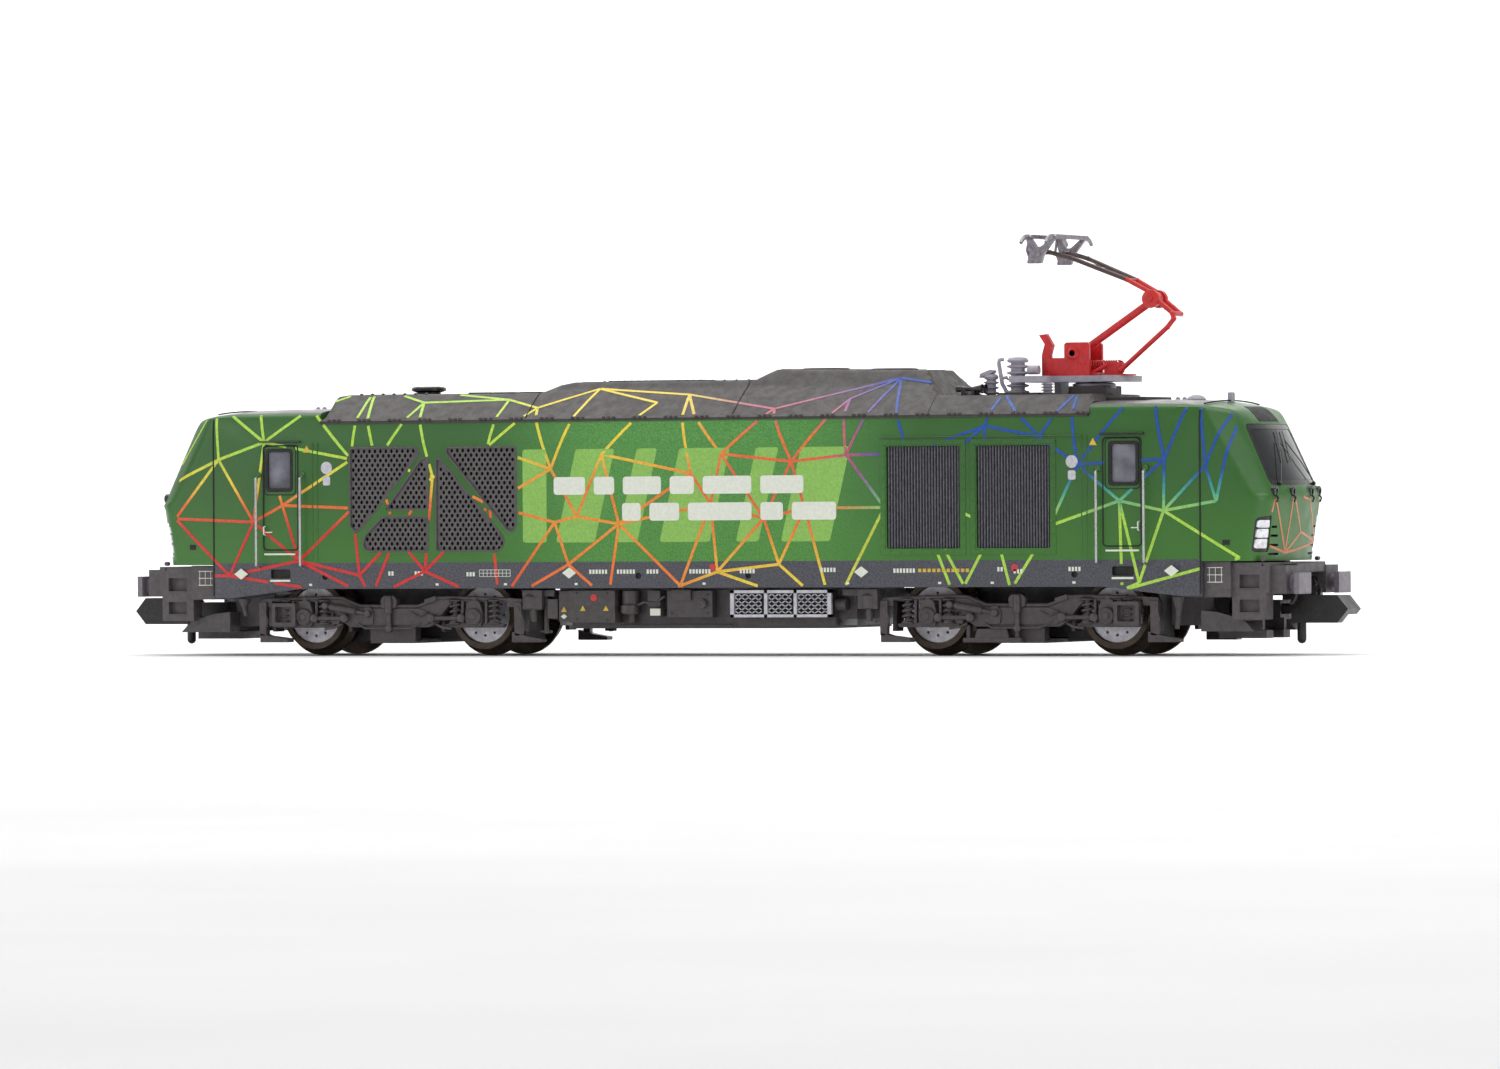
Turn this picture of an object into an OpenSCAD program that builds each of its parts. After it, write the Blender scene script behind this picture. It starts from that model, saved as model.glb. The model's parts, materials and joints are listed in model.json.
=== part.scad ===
// Model electric locomotive with four axles, built to a scale of 1:160 for 9 mm track.
// X runs along the locomotive with the pantograph towards +X, Z is up from the flange bottoms,
// and the origin is on the centre line, half way between the ends.

/* [Running gear] */
// Distance between the two bogie pivots
pivot_spacing = 67.5; // [67.4:0.1:67.6]
// Distance between the two axles of a bogie
wheelbase = 18.75; // [18.7:0.05:18.8]
// Diameter of the wheel tread
tread_d = 6.88; // [6.8:0.02:6.9]
// How far the flange stands out past the tread
flange_h = 0.6; // [0.5:0.05:0.6]
// Distance between the backs of a pair of wheels
back_to_back = 7.4; // [7.3:0.05:7.5]
// Width of one wheel with its flange
wheel_w = 2.2; // [2:0.1:2.2]

/* [Body] */
// Length over the buffer plates
length_over_buffers = 124.84; // [124.7:0.02:125]
// Width of the body side to side
body_w = 18.6; // [18.4:0.1:18.6]
// Thickness of the body moulding
shell_t = 0.8; // [0.7:0.05:0.8]
// Height of the cab roof
cab_roof_z = 24.65; // [24.5:0.05:24.8]
// Height of the lowered roof under the hoods
hood_seat_z = 23.15; // [23.1:0.05:23.2]

/* [Drive] */
// Height of the motor shaft and worms
shaft_z = 13.2; // [13.2:0.1:13.3]
// Teeth of the worm gear and of each axle gear
small_teeth = 20; // [16:1:24]
// Teeth of each idler gear
idler_teeth = 30; // [24:1:36]

/* [Pantograph] */
// Length of the lower arm between its pivots
lower_arm_l = 9.4; // [9.2:0.1:9.4]
// Lift of the lower arm above level
lower_arm_angle = 33.3; // [33:0.1:34]

/* [Hidden] */
$fn = 48;

pivot_x = pivot_spacing / 2;
half_base = wheelbase / 2;
axle_z = tread_d / 2 + flange_h;
wheel_in = back_to_back / 2;
half_w = body_w / 2;
fit = 0.05;          // radial clearance of a shaft in its bearing
seat = 0.03;         // gap round an insert in its opening

small_gear_r = 2.15; // outer radius of the worm gear and of an axle gear
worm_gear_z = 9.6;
idler_x = half_base / 2;
idler_z = (worm_gear_z + axle_z) / 2;
idler_r = norm([half_base, worm_gear_z - axle_z]) / 2 - small_gear_r - fit;

// Lines of the painted body, in (x, z) for the side view and (y, z) for the section
end_line = [[43, 6.7], [52, 5.65], [53.05, 5.65], [53.05, 9.1], [59.3, 9.1], [60.3, 15.6],
            [57.05, 22.4], [55.6, 23.85], [53.6, 24.4], [51, cab_roof_z]];
section_line = [[half_w, 5], [half_w, 21.25], [half_w - 0.85, 24.2], [7.7, 24.6], [6.3, 24.9]];
plan_line = [[51, half_w], [52.9, 8.95], [57, 8.35], [62, 7.9]];
knee_z = 15.6;
knee_x = 60.3;
brow_tilt = -25.9;   // the windscreen leans back
chin_tilt = 8.75;    // the lower nose leans out
chin_plan = [[0, 0], [-0.25, 3.5], [-0.65, 6.6], [-1.35, 7.8], [-2.4, 8.35], [-75, 12]];
brow_plan = [[0, 0], [-0.25, 3.5], [-0.6, 6.4], [-4.4, 10.3], [-75, 12]];

pan_pivot = [37.2, 29.3];
knee = pan_pivot + lower_arm_l * [cos(lower_arm_angle), sin(lower_arm_angle)];
head_pivot = [34.65, 39.1];
rod_foot = [41.9, 27.3];
rod_top = [47.35, 33.0];

// ---- Helpers ----

function mirrored(points, axis) =
  [for (i = [len(points) - 1 : -1 : 0])
    [points[i].x * (axis == 0 ? -1 : 1), points[i].y * (axis == 1 ? -1 : 1)]];
function inward(edge) = [-edge.y, edge.x] / norm(edge);
// A closed outline, listed anticlockwise, moved inwards by d with mitred corners
function inset(points, d) =
  [for (i = [0 : len(points) - 1])
    let (n = len(points),
         n1 = inward(points[i] - points[(i + n - 1) % n]),
         n2 = inward(points[(i + 1) % n] - points[i]))
    points[i] + d * (n1 + n2) / (1 + n1 * n2)];

module both_ends() {
  children();
  mirror([1, 0, 0]) children();
}
module both_sides() {
  children();
  mirror([0, 1, 0]) children();
}
module four_corners() both_ends() both_sides() children();
// An outline in (x, z) made w wide about y = 0
module across(w) rotate([90, 0, 0]) linear_extrude(w, center = true) children();
// An outline in (y, z) made l long about x = 0
module along(l) rotate([90, 0, 90]) linear_extrude(l, center = true) children();
module box(low, high) translate(low) cube(high - low);
module rod_x(p, r, l) translate(p) rotate([0, 90, 0]) cylinder(r = r, h = l);
module rod_y(p, r, l) translate(p) rotate([90, 0, 0]) cylinder(r = r, h = l, center = true);
module rod_z(p, r, l) translate(p) cylinder(r = r, h = l);
// A round bar between two points
module bar(p, q, r) {
  v = q - p;
  translate(p) rotate([0, acos(v.z / norm(v)), atan2(v.y, v.x)]) cylinder(r = r, h = norm(v));
}
// A round bar through a list of points, with ball joints
module bent_bar(points, r) {
  for (i = [0 : len(points) - 2]) bar(points[i], points[i + 1], r);
  for (p = points) translate(p) sphere(r = r * 1.12, $fn = 24);
}
module gear(r, w, teeth) {
  depth = 0.36;
  pitch = 360 / teeth;
  rotate([90, 0, 0]) linear_extrude(w, center = true)
    polygon([for (i = [0 : teeth - 1], s = [[0, 0], [0.22, 0], [0.36, 1], [0.64, 1], [0.78, 0]])
      let (a = (i + s[0]) * pitch) (r - depth + depth * s[1]) * [cos(a), sin(a)]]);
}
module insulator(p, h, r, rings) {
  rod_z(p, r * 0.72, h);
  for (i = [0 : rings - 1]) rod_z(p + [0, 0, h * (i + 0.35) / rings], r, h / rings * 0.42);
}

// ---- Painted body ----

module side_view(d) across(30) polygon(inset(concat(
  end_line, [[41.6, cab_roof_z], [41.6, hood_seat_z], [-41.05, hood_seat_z], [-41.05, cab_roof_z]],
  mirrored(end_line, 0)), d));
module section_view(d) along(140) polygon(inset(concat(section_line, mirrored(section_line, 0)), d));
module plan_view(d) linear_extrude(60) polygon(inset(concat(
  [[-30, -half_w]], [for (p = plan_line) [p.x, -p.y]],
  [for (i = [3 : -1 : 0]) plan_line[i]], [[-30, half_w]]), d));
module nose_view(outline, tilt, d) translate([knee_x, 0, knee_z]) rotate([0, tilt, 0])
  translate([0, 0, -60]) linear_extrude(120)
    polygon(inset(concat(mirrored([for (p = outline) [p.x, p.y]], 1),
                         [for (i = [1 : len(outline) - 1]) outline[i]]), d));
// The outer form of the body, moved inwards by d
module body_form(d) intersection() {
  side_view(d);
  section_view(d);
  both_ends() intersection() {
    plan_view(d);
    box([-1, -15, 0], [70, 15, 40]);
    union() {
      intersection() {
        nose_view(chin_plan, chin_tilt, d);
        box([-1, -15, 0], [70, 15, knee_z]);
      }
      intersection() {
        nose_view(brow_plan, brow_tilt, d);
        box([-1, -15, knee_z], [70, 15, 40]);
      }
    }
  }
}
// The wall of the body down to a depth d below its surface
module body_wall(d) difference() {
  body_form(0);
  body_form(d);
}
module windscreen_space(gap) both_ends()
  box([54.6, -6.15 + gap, 16.4 + gap], [62, 6.15 - gap, 22.2 - gap]);
module lamp_space(gap) four_corners()
  box([56.6, 6.05 + gap, 10.2 + gap], [62, 8.6, 13.3 - gap]);
module door_window_space(gap) four_corners()
  box([43.75 + gap, 7, 16.4 + gap], [46.9 - gap, 10, 20.7 - gap]);

// The five openings of the mesh grille on each side, in (x, z), anticlockwise
grille_fields = [
  [[-37.5, 12.8], [-36.8, 12.2], [-36.1, 12.6], [-29.6, 20.15], [-30.1, 20.8], [-37.5, 20.8]],
  [[-36.15, 11.0], [-35.6, 10.35], [-28.7, 10.35], [-28.7, 13.9], [-33.9, 13.9], [-35.85, 12.0]],
  [[-33.6, 14.5], [-28.7, 14.5], [-28.7, 19.65], [-29.1, 19.75], [-29.6, 19.6]],
  [[-28.0, 10.35], [-20.9, 10.35], [-20.4, 11.05], [-20.45, 11.85], [-27.5, 19.7], [-28.0, 19.6]],
  [[-26.9, 20.15], [-20.2, 12.4], [-19.6, 12.2], [-19.05, 12.75], [-19.05, 20.75], [-26.8, 20.75]]
];
radiator_edges = [[20.6, 28.3], [30.05, 37.7]];
module mesh_space(gap) both_sides() for (f = grille_fields)
  translate([0, 8.8, 0]) across(3) polygon(inset(f, gap));
module radiator_space(gap) both_sides() for (e = radiator_edges)
  box([e[0] + gap, 7.4, 10.45 + gap], [e[1] - gap, 10, 20.35 - gap]);

module body_shell() color("forestgreen") difference() {
  body_form(0);
  body_form(shell_t);
  box([-52.3, -half_w + shell_t, 4], [52.3, half_w - shell_t, 8.2]);
  both_ends() box([51.5, -7.3, 5], [58.3, 7.3, 10.2]);
  box([-37, -6.2, 22], [27, 6.2, 24]);
  windscreen_space(0);
  lamp_space(0);
  door_window_space(0);
  mesh_space(0);
  radiator_space(0);
}
module windscreens() color("black", 0.6) intersection() {
  body_wall(0.5);
  windscreen_space(seat);
}
module headlamps() color("whitesmoke") intersection() {
  body_wall(shell_t);
  lamp_space(seat);
}
module door_windows() color("dimgray") intersection() {
  door_window_space(seat);
  both_sides() box([-50, half_w - shell_t, 16], [50, half_w - 0.15, 21]);
}
// Slotted panels that sit just below the painted side
module mesh_grilles() color("dimgray") difference() {
  intersection() {
    mesh_space(seat);
    both_sides() box([-40, half_w - shell_t, 10], [-18, half_w - 0.15, 21]);
  }
  both_sides() for (i = [0 : 5], k = [0 : 3])
    box([-36.6 + 2.9 * i, half_w - 0.4, 11.2 + 2.4 * k], [-36.1 + 2.9 * i, half_w + 1, 12 + 2.4 * k]);
}
module radiator_grilles() color("slategray") difference() {
  intersection() {
    radiator_space(seat);
    both_sides() box([20, half_w - shell_t, 10], [38, half_w - 0.1, 21]);
  }
  both_sides() for (e = radiator_edges, x = [e[0] + 0.5 : 0.85 : e[1] - 0.4])
    box([x, half_w - 0.35, 10.9], [x + 0.3, half_w + 1, 19.9]);
}
module handrail_at(x) bent_bar([[x, half_w - 0.05, 8.8], [x, 9.9, 9.1], [x, 9.9, 17.7],
                                [x, half_w - 0.05, 18]], 0.13);
module handrails() color("silver") difference() {
  four_corners() {
    handrail_at(42.7);
    handrail_at(47.6);
  }
  box([-60, -half_w, 0], [60, half_w, 30]);
}

// ---- Roof ----

ramp_foot_x = 24.65;
deck_z = 25.3;
hood_line = [[-41, hood_seat_z], [ramp_foot_x, hood_seat_z], [ramp_foot_x, deck_z], [22.5, 27.85],
             [6.35, 28.1], [4.4, 27.05], [-15.1, 27.05], [-16.5, 26.8], [-18.4, 26], [-39.5, 26.05],
             [-40.5, 25.9], [-40.9, 23.5]];
hood_section = [[8.75, hood_seat_z], [8.75, 23.4], [6.3, deck_z], [4.6, 26.4], [3.3, 27.9], [2.8, 28.2]];
hood_room = [[-38.5, 23.85], [-38.3, 25.2], [-18.2, 25.2], [-15, 26.3], [4.6, 26.3], [6.6, 27.3], [22, 27.1],
             [23.6, 25.2], [23.6, 23.85]];
hood_room_section = [[7.6, 23], [7.6, 23.6], [5.6, 25.2], [3.9, 26.3], [2.6, 27.6]];
module hood_form() intersection() {
  across(30) polygon(hood_line);
  along(140) polygon(concat(hood_section, mirrored(hood_section, 0)));
}
module hood_space() intersection() {
  across(30) polygon([for (i = [len(hood_room) - 1 : -1 : 0]) hood_room[i]]);
  along(140) polygon(concat(hood_room_section, mirrored(hood_room_section, 0)));
}
module roof_cover() color("#4a4441") {
  difference() {
    hood_form();
    hood_space();
    box([-37, -6.2, 22], [27, 6.2, 24.2]);
  }
  rod_z([-33.1, 0, 25.6], 1.7, 1.1);
}
deck_x = ramp_foot_x + 0.05;
deck_line = [[deck_x, hood_seat_z], [41.45, hood_seat_z], [41.45, 24.6], [40.9, deck_z], [deck_x, deck_z]];
deck_section = [[8.75, hood_seat_z], [8.75, 23.4], [6.3, deck_z]];
module equipment_deck() color("#4a4441") {
  intersection() {
    across(30) polygon(deck_line);
    along(140) polygon(concat(deck_section, mirrored(deck_section, 0)));
  }
  box([35.8, -2.6, 25.2], [41.3, 2.6, 26.1]);
}
module roof_insulators() color("lavender") {
  insulator([31.9, -3, deck_z], 3.2, 1.1, 5);
  rod_z([31.9, -3, 28.4], 0.85, 0.6);
  insulator([29.1, -3, deck_z], 1.9, 0.75, 4);
  for (y = [-4, 4]) insulator([35.4, y, deck_z], 1.17, 0.65, 3);
  insulator([38.7, 0, 26.1], 0.37, 1.7, 1);
}
module roof_horns() color("#2e2b2a") {
  for (y = [-5.4, -4.5]) {
    rod_x([26.4, y, 25.85], 0.3, 1.9);
    translate([28.3, y, 25.85]) rotate([0, 90, 0]) cylinder(r1 = 0.3, r2 = 0.45, h = 0.9);
  }
  box([27.1, -5.75, deck_z], [27.8, -4.15, 26.0]);
  rod_z([49.3, 0, cab_roof_z], 1.1, 0.5);
  rod_z([52.9, 0, 24.6], 0.38, 0.8);
}

// ---- Pantograph ----

module pantograph_base() color("lavender") {
  difference() {
    box([31.6, -4.6, 26.5], [42.2, 4.6, 27.1]);
    box([33.2, 2.5, 26], [41, 3.7, 28]);
    box([33.2, -3.7, 26], [41, -2.5, 28]);
    rod_z([31.9, -3, 26], 1.25, 2);
    translate([39.6, 5.2, 26.8]) cube([8, 3, 2], center = true);
    translate([39.6, -5.2, 26.8]) cube([8, 3, 2], center = true);
  }
  box([34.9, -1, 25.3], [35.6, 1, 26.5]);
  rod_x([33.1, -3.2, 27.7], 0.45, 1.1);
}
channel_side = [[34.4, 27.1], [38.9, 27.1], [38.9, 30.15], [38.7, 30.35], [36.5, 30.35], [36.3, 30.15],
                [36.3, 28.85], [34.4, 28.85]];
hook_side = [[33.8, 27.1], [34.7, 27.1], [34.7, 29.2], [34.95, 30.1], [34.3, 31.2], [33.5, 31.1],
             [34.1, 30.2], [33.8, 29.2]];
module pantograph_channel() color("crimson") {
  difference() {
    both_sides() translate([0, 1.7, 0]) across(0.4) polygon(channel_side);
    rod_y([pan_pivot.x, 0, pan_pivot.y], 0.3 + fit, 6);
  }
  box([34.4, -1.5, 27.1], [39.6, 1.5, 27.4]);
  translate([0, -1.2, 0]) across(0.6) polygon(hook_side);
  difference() {
    box([39.9, -1.6, 27.1], [42.6, 1.2, 27.25]);
    rod_z([41, 0, 27], 0.4, 1);
  }
  box([40.0, -0.75, 27.25], [41.9, -0.5, 28.4]);
}
// Coil spring that pulls the lower arm up, one turn of wire at a time
module lift_spring() color("firebrick") {
  turns = 9;
  pitch = 0.27;
  for (i = [0 : turns - 1]) translate([38.35 + i * pitch, 0.35, 28.15]) rotate([0, 90, 0])
    rotate_extrude() translate([0.4, 0]) circle(r = 0.1, $fn = 16);
  rod_x([38.1, 0.35, 28.15], 0.3, 3.0);
}
module lower_arm() color("crimson") {
  a = [pan_pivot.x, 0, pan_pivot.y];
  b = [knee.x, 0, knee.y];
  rod_y(a, 0.3, 4.2);
  rod_y(a, 0.6, 2.4);
  bar(a, b - 0.5 * (b - a) / norm(b - a), 0.375);
  difference() {
    rod_y(b, 0.7, 1.1);
    rod_y(b, 0.3, 3);
  }
}
module upper_arm() color("crimson") {
  k = [knee.x, 0, knee.y];
  rod_y(k, 0.3 - fit, 1.5);
  both_sides() {
    rod_y(k + [0, 0.95, 0], 0.85, 0.5);
    bent_bar([k + [0.1, 1, 0.55], [42.7, 1.35, 36.35], [37.2, 2.3, 38.55], [35.2, 2.75, 39.1],
              [head_pivot.x, 2.75, head_pivot.y]], 0.22);
    rod_y([head_pivot.x, 2.75, head_pivot.y], 0.22, 1.0);
    bent_bar([k + [0.3, 1, 0.2], [46.6, 1, 33.6], [rod_top.x, 1, rod_top.y]], 0.24);
  }
  rod_y([rod_top.x, 0, rod_top.y], 0.24, 2);
  bar([42.6, -1.35, 36.35], [42.6, 1.35, 36.35], 0.16);
}
bracket_side = [[33.3, 38.0], [34.9, 38.0], [35.1, 38.9], [36.4, 40.5], [35.8, 40.5], [34.8, 39.6],
                [34.4, 39.6], [33.8, 40.5], [33.2, 40.5], [33.6, 39.2]];
module pantograph_head() color("silver") {
  for (x = [33.5, 36.1]) {
    box([x - 0.42, -4.3, 40.45], [x + 0.42, 4.3, 40.8]);
    both_sides() {
      bar([x, 4.2, 40.6], [x, 5.4, 40.4], 0.25);
      translate([x, 5.4, 40.4]) sphere(r = 0.28, $fn = 24);
      bar([x, 5.4, 40.4], [x, 6, 39.95], 0.25);
    }
  }
  both_sides() difference() {
    translate([0, 3.85, 0]) across(0.5) polygon(bracket_side);
    rod_y([head_pivot.x, 3.2, head_pivot.y], 0.22 + fit, 6);
  }
  for (y = [-2, 2]) box([33.6, y - 0.15, 40.5], [36.0, y + 0.15, 40.75]);
}
module thrust_rod() color("crimson") {
  rod_y([rod_foot.x, -0.9, rod_foot.y + 0.3], 0.27, 0.3);
  bent_bar([[rod_foot.x, -1.1, rod_foot.y + 0.3], [47.1, -1.9, 31.7], [47.75, -1.9, 32.5],
            [47.6, -1.9, 33.0]], 0.24);
}

// ---- Ends ----

module buffer_beams() color("#4b4645") both_ends() {
  difference() {
    union() {
      box([53.1, -8.1, 6.3], [55.8, 8.1, 9.05]);
      box([53.1, -8.1, 5.65], [55.8, -6.9, 7]);
      box([53.1, 6.9, 5.65], [55.8, 8.1, 7]);
      box([55.8, -7.7, 6.0], [59.6, 7.7, 8.95]);
      both_sides() box([55.8, 5.9, 3.5], [59.3, 7.7, 8.9]);
      both_sides() box([59.5, 5.47 - 1.7, 5.95], [61.1, 5.47 + 1.7, 8.65]);
      box([59.5, -3.7, 8.0], [61.0, 3.7, 8.8]);
    }
    box([50, -3.3, 4], [60, 3.3, 6.75]);
    box([50, -3.15, 6], [56.6, 3.15, 9.5]);
    box([53, -6.6, 8.2], [58, 6.6, 9.5]);
    both_sides() {
      box([56.55, 7.1, 6.5], [58.6, 9, 7.8]);
      box([56.55, 7.1, 4.2], [58.6, 9, 5.4]);
      rod_x([59, 5.47, 7.0], 0.8, 4);
    }
  }
  difference() {
    box([52.7, -3.2, 1.65], [57.6, 3.2, 2.4]);
    box([56.4, -1.4, 1], [60, 1.4, 3]);
  }
  both_sides() box([55.6, 2.6, 2.4], [57.2, 3.2, 3.4]);
  both_sides() box([55.6, 2.6, 3.4], [57.2, 6.6, 3.9]);
}
module buffers() color("#6d6871") four_corners() {
  rod_x([59.7, 5.47, 7.0], 0.8 - seat, 2.3);
  box([61.9, 5.47 - 1.65, 5.93], [length_over_buffers / 2, 5.47 + 1.65, 7.98]);
}
coupler_pivot_x = 54.2;
coupler_tip = [[59.6, 3.1], [64.3, 3.1], [65.4, 4.42], [64.3, 5.75], [59.6, 5.75]];
// The pocket swings on a pin under the frame end
module coupler_pocket() color("#2d2a29") difference() {
  union() {
    rod_z([coupler_pivot_x, 0, 3.6], 1.6, 1.7);
    box([coupler_pivot_x, -1.6, 3.6], [58.4, 1.6, 5.3]);
  }
  box([coupler_pivot_x + 1.9, -1.25, 3.95], [60, 1.25, 4.95]);
  rod_z([coupler_pivot_x, 0, 3], 0.6 + fit, 3);
}
// The coupler head tips up in its pocket to couple
module coupler() color("#262322") {
  difference() {
    across(3.6) polygon(coupler_tip);
    box([60.4, -1.1, 2.9], [63.2, 1.1, 6]);
    box([61.6, -0.5, 2.9], [65.6, 2.2, 3.9]);
  }
  box([56.4, -1.1, 4.1], [59.7, 1.1, 4.8]);
  rod_z([60, 0, 1.5], 0.44, 2);
  translate([60, 0, 1.54]) sphere(r = 0.44);
}
module coupler_pocket_front() coupler_pocket();
module coupler_pocket_rear() mirror([1, 0, 0]) coupler_pocket();
module coupler_front() coupler();
module coupler_rear() mirror([1, 0, 0]) coupler();

// ---- Frame and what it carries ----

tower_top_z = 15.2;
turntable_r = 5.15;
module chassis_frame() color("gray") difference() {
  union() {
    box([-50.5, -7.7, 8.75], [50.5, 7.7, 19.0]);
    box([-16, -5.9, 3.0], [16, 5.9, 8.8]);
    both_ends() {
      box([49.9, -3.1, 6.9], [56.5, 3.1, 8.9]);
      rod_z([coupler_pivot_x, 0, 3.2], 0.6, 4);
      rod_z([coupler_pivot_x, 0, 5.4], 1.5, 1.6);
      rod_z([coupler_pivot_x, 0, 2.9], 1.0, 0.62);
    }
  }
  box([-17.2, -5.3, 9.0], [17.2, 5.3, 20]);
  both_ends() {
    box([17, -2.3, 11], [26, 2.3, 20]);
    box([pivot_x - 8.2, -4.9, 9.6], [pivot_x + 8.2, 4.9, 16.4]);
    rod_z([pivot_x, 0, 8], turntable_r + fit, 3);
    box([pivot_x - 9.6, -3.6, 8], [pivot_x + 9.6, 3.6, 11.4]);
    box([pivot_x - 6.7, -4.1, 8], [pivot_x + 6.7, 4.1, 10]);
    box([pivot_x - 6.6, -4, 16], [pivot_x + 6.6, 4, 20]);
  }
  both_sides() {
    box([-52, 6.9, 8], [-18.5, 8, 17.5]);
    box([18.5, 6.9, 8], [52, 8, 17.5]);
  }
}
module underfloor_tank() color("#3c3736") {
  difference() {
    box([-16.4, -6.9, 2.7], [16.4, 6.9, 6.5]);
    box([-16.02, -5.92, 2.98], [16.02, 5.92, 9]);
    both_ends() box([14.2, -9, 2], [18, 9, 3.6]);
  }
  both_sides() {
    box([-16.2, 6.9, 3.7], [-15.1, 8.4, 5.6]);
    box([-14.9, 6.9, 3.4], [-13.8, 8.5, 6.4]);
    box([-13.75, 6.9, 3.3], [-8.75, 8.7, 6.45]);
    rod_z([-7.5, 7.6, 4.1], 0.85, 2.3);
    rod_z([-7.4, 7.6, 3.3], 0.35, 1.0);
    box([-5.4, 6.9, 4.9], [-4.1, 8.2, 6.4]);
    box([-5.1, 6.9, 3.9], [-4.0, 8.4, 4.7]);
    box([-2.8, 6.9, 5.45], [-0.75, 8.3, 6.5]);
    box([-3.4, 6.9, 3.8], [1.45, 8.0, 6.4]);
    rod_y([0.4, 8.1, 5.14], 0.45, 0.5);
    box([4.1, 6.9, 2.9], [14.4, 7.5, 3.75]);
    box([4.1, 6.9, 3.75], [14.4, 7.9, 6.4]);
    rod_x([14.6, 7.6, 5.05], 0.6, 1.1);
    box([15.5, 6.9, 5.9], [19.4, 8.3, 6.5]);
    box([-19.0, 6.9, 5.9], [-15.5, 8.3, 6.5]);
    for (x = [18.3, -17.7]) {
      box([x - 1.05, 8.0, 4.6], [x + 1.05, 8.75, 6.5]);
      rod_z([x, 8.35, 3.4], 0.3, 1.3);
    }
  }
}
// Louvred silver boxes hung on the sides of the tank
module battery_box_grilles() color("silver") both_sides() difference() {
  box([3.8, 7.9, 3.8], [14.55, 9.0, 6.45]);
  for (i = [0 : 2]) box([4.35 + 3.4 * i, 8.75, 4.05], [7.45 + 3.4 * i, 10, 6.15]);
}
module circuit_board() color("darkgreen") difference() {
  union() {
    box([-46, -7.2, 19.0], [46, 7.2, 19.6]);
    both_ends() box([44, -1.5, 19.6], [45.5, 1.5, 20.4]);
    box([-28, -4.5, 19.6], [-12, 4.5, 20.2]);
  }
  for (x = [-40, -8, 40], y = [-5.6, 5.6]) rod_z([x, y, 18], 0.6, 4);
}
module decoder_board() color("teal") {
  box([-27.5, -4.2, 20.2], [-12.5, 4.2, 20.9]);
  box([-24, -2.5, 20.9], [-19, 2.5, 21.8]);
}
module loudspeaker() color("black") difference() {
  box([8.6, -5, 19.6], [23.4, 5, 24.6]);
  rod_z([16, 0, 23.6], 4.2, 2);
}
module light_guides() color("ghostwhite") both_ends() {
  box([46.2, -5.2, 19.2], [48.6, 5.2, 20.4]);
  box([48.6, 4.2, 19.2], [51.2, 5.2, 20.4]);
  box([48.6, -5.2, 19.2], [51.2, -4.2, 20.4]);
  both_sides() box([51.2, 4.2, 11.2], [52.2, 5.2, 20.4]);
  both_sides() box([52.2, 4.2, 11.2], [56.2, 5.2, 12.2]);
}
motor_l = 15.2;
module motor_can() color("silver") difference() {
  intersection() {
    rod_x([-motor_l / 2, 0, shaft_z], 5, motor_l);
    box([-10, -6, shaft_z - 4.2], [10, 6, shaft_z + 4.2]);
  }
  intersection() {
    rod_x([-motor_l / 2 - 1, 0, shaft_z], 4.5, motor_l + 0.3);
    box([-10, -6, shaft_z - 3.8], [10, 6, shaft_z + 3.8]);
  }
  rod_x([0, 0, shaft_z], 0.5 + fit, 12);
}
module brush_holder() color("black") difference() {
  intersection() {
    rod_x([-motor_l / 2 - 1.6, 0, shaft_z], 4.6, 1.6);
    box([-12, -6, shaft_z - 4.0], [10, 6, shaft_z + 4.0]);
  }
  rod_x([-12, 0, shaft_z], 0.5 + fit, 12);
}
module motor_armature() color("darkorange") {
  rod_x([-15, 0, shaft_z], 0.5, 30);
  difference() {
    rod_x([-4.5, 0, shaft_z], 3.3, 9);
    for (i = [0 : 4]) translate([0, 0, shaft_z]) rotate([72 * i, 0, 0])
      box([-6, -0.4, 2.2], [6, 0.4, 4]);
  }
  rod_x([-6.6, 0, shaft_z], 1.2, 1.9);
}
module flywheels() color("goldenrod") both_ends() difference() {
  rod_x([10.2, 0, shaft_z], 4.0, 5.6);
  rod_x([9, 0, shaft_z], 0.5, 6);
  rod_x([13.8, 0, shaft_z], 1.4, 3);
}
worm_cup_x = pivot_x - 4.3;
module cardan_front() color("black") {
  rod_x([15.2, 0, shaft_z], 0.45, worm_cup_x - 15.2);
  rod_x([15.2, 0, shaft_z], 0.95, 0.5);
  rod_x([worm_cup_x - 0.25, 0, shaft_z], 0.5, 0.5);
}
module cardan_rear() mirror([1, 0, 0]) cardan_front();

// ---- Bogies ----

module worm() color("gold") {
  difference() {
    rod_x([-5.3, 0, shaft_z], 1.75, 1.7);
    rod_x([-5.4, 0, shaft_z], 1.4, 1.5);
  }
  rod_x([-3.9, 0, shaft_z], 0.5, 9.0);
  rod_x([-2.4, 0, shaft_z], 0.95, 4.8);
  for (i = [0 : 6]) translate([-2.1 + 0.7 * i, 0, shaft_z]) rotate([0, 90, 0])
    rotate_extrude() translate([0.9, 0]) polygon([[0, -0.25], [0.38, -0.08], [0.38, 0.08], [0, 0.25]]);
}
gearbox_line = [[-12, 1.4], [-3.2, 1.4], [-3.2, 1.76], [3.2, 1.76], [3.2, 1.4], [12, 1.4],
                [12, 6.4], [9.6, 8.45], [5.6, 8.5], [5.6, tower_top_z], [-3.4, tower_top_z],
                [-3.4, 8.5], [-9.6, 8.45], [-12, 6.4]];
gear_room = [[-11.65, 1.75], [11.65, 1.75], [11.65, 6.2], [9.2, 7.9], [8.2, 10.3], [4.6, 10.3], [4.6, 14.6],
             [-2.7, 14.6], [-2.7, 10.3], [-8.2, 10.3], [-9.2, 7.9], [-11.65, 6.2]];
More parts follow.
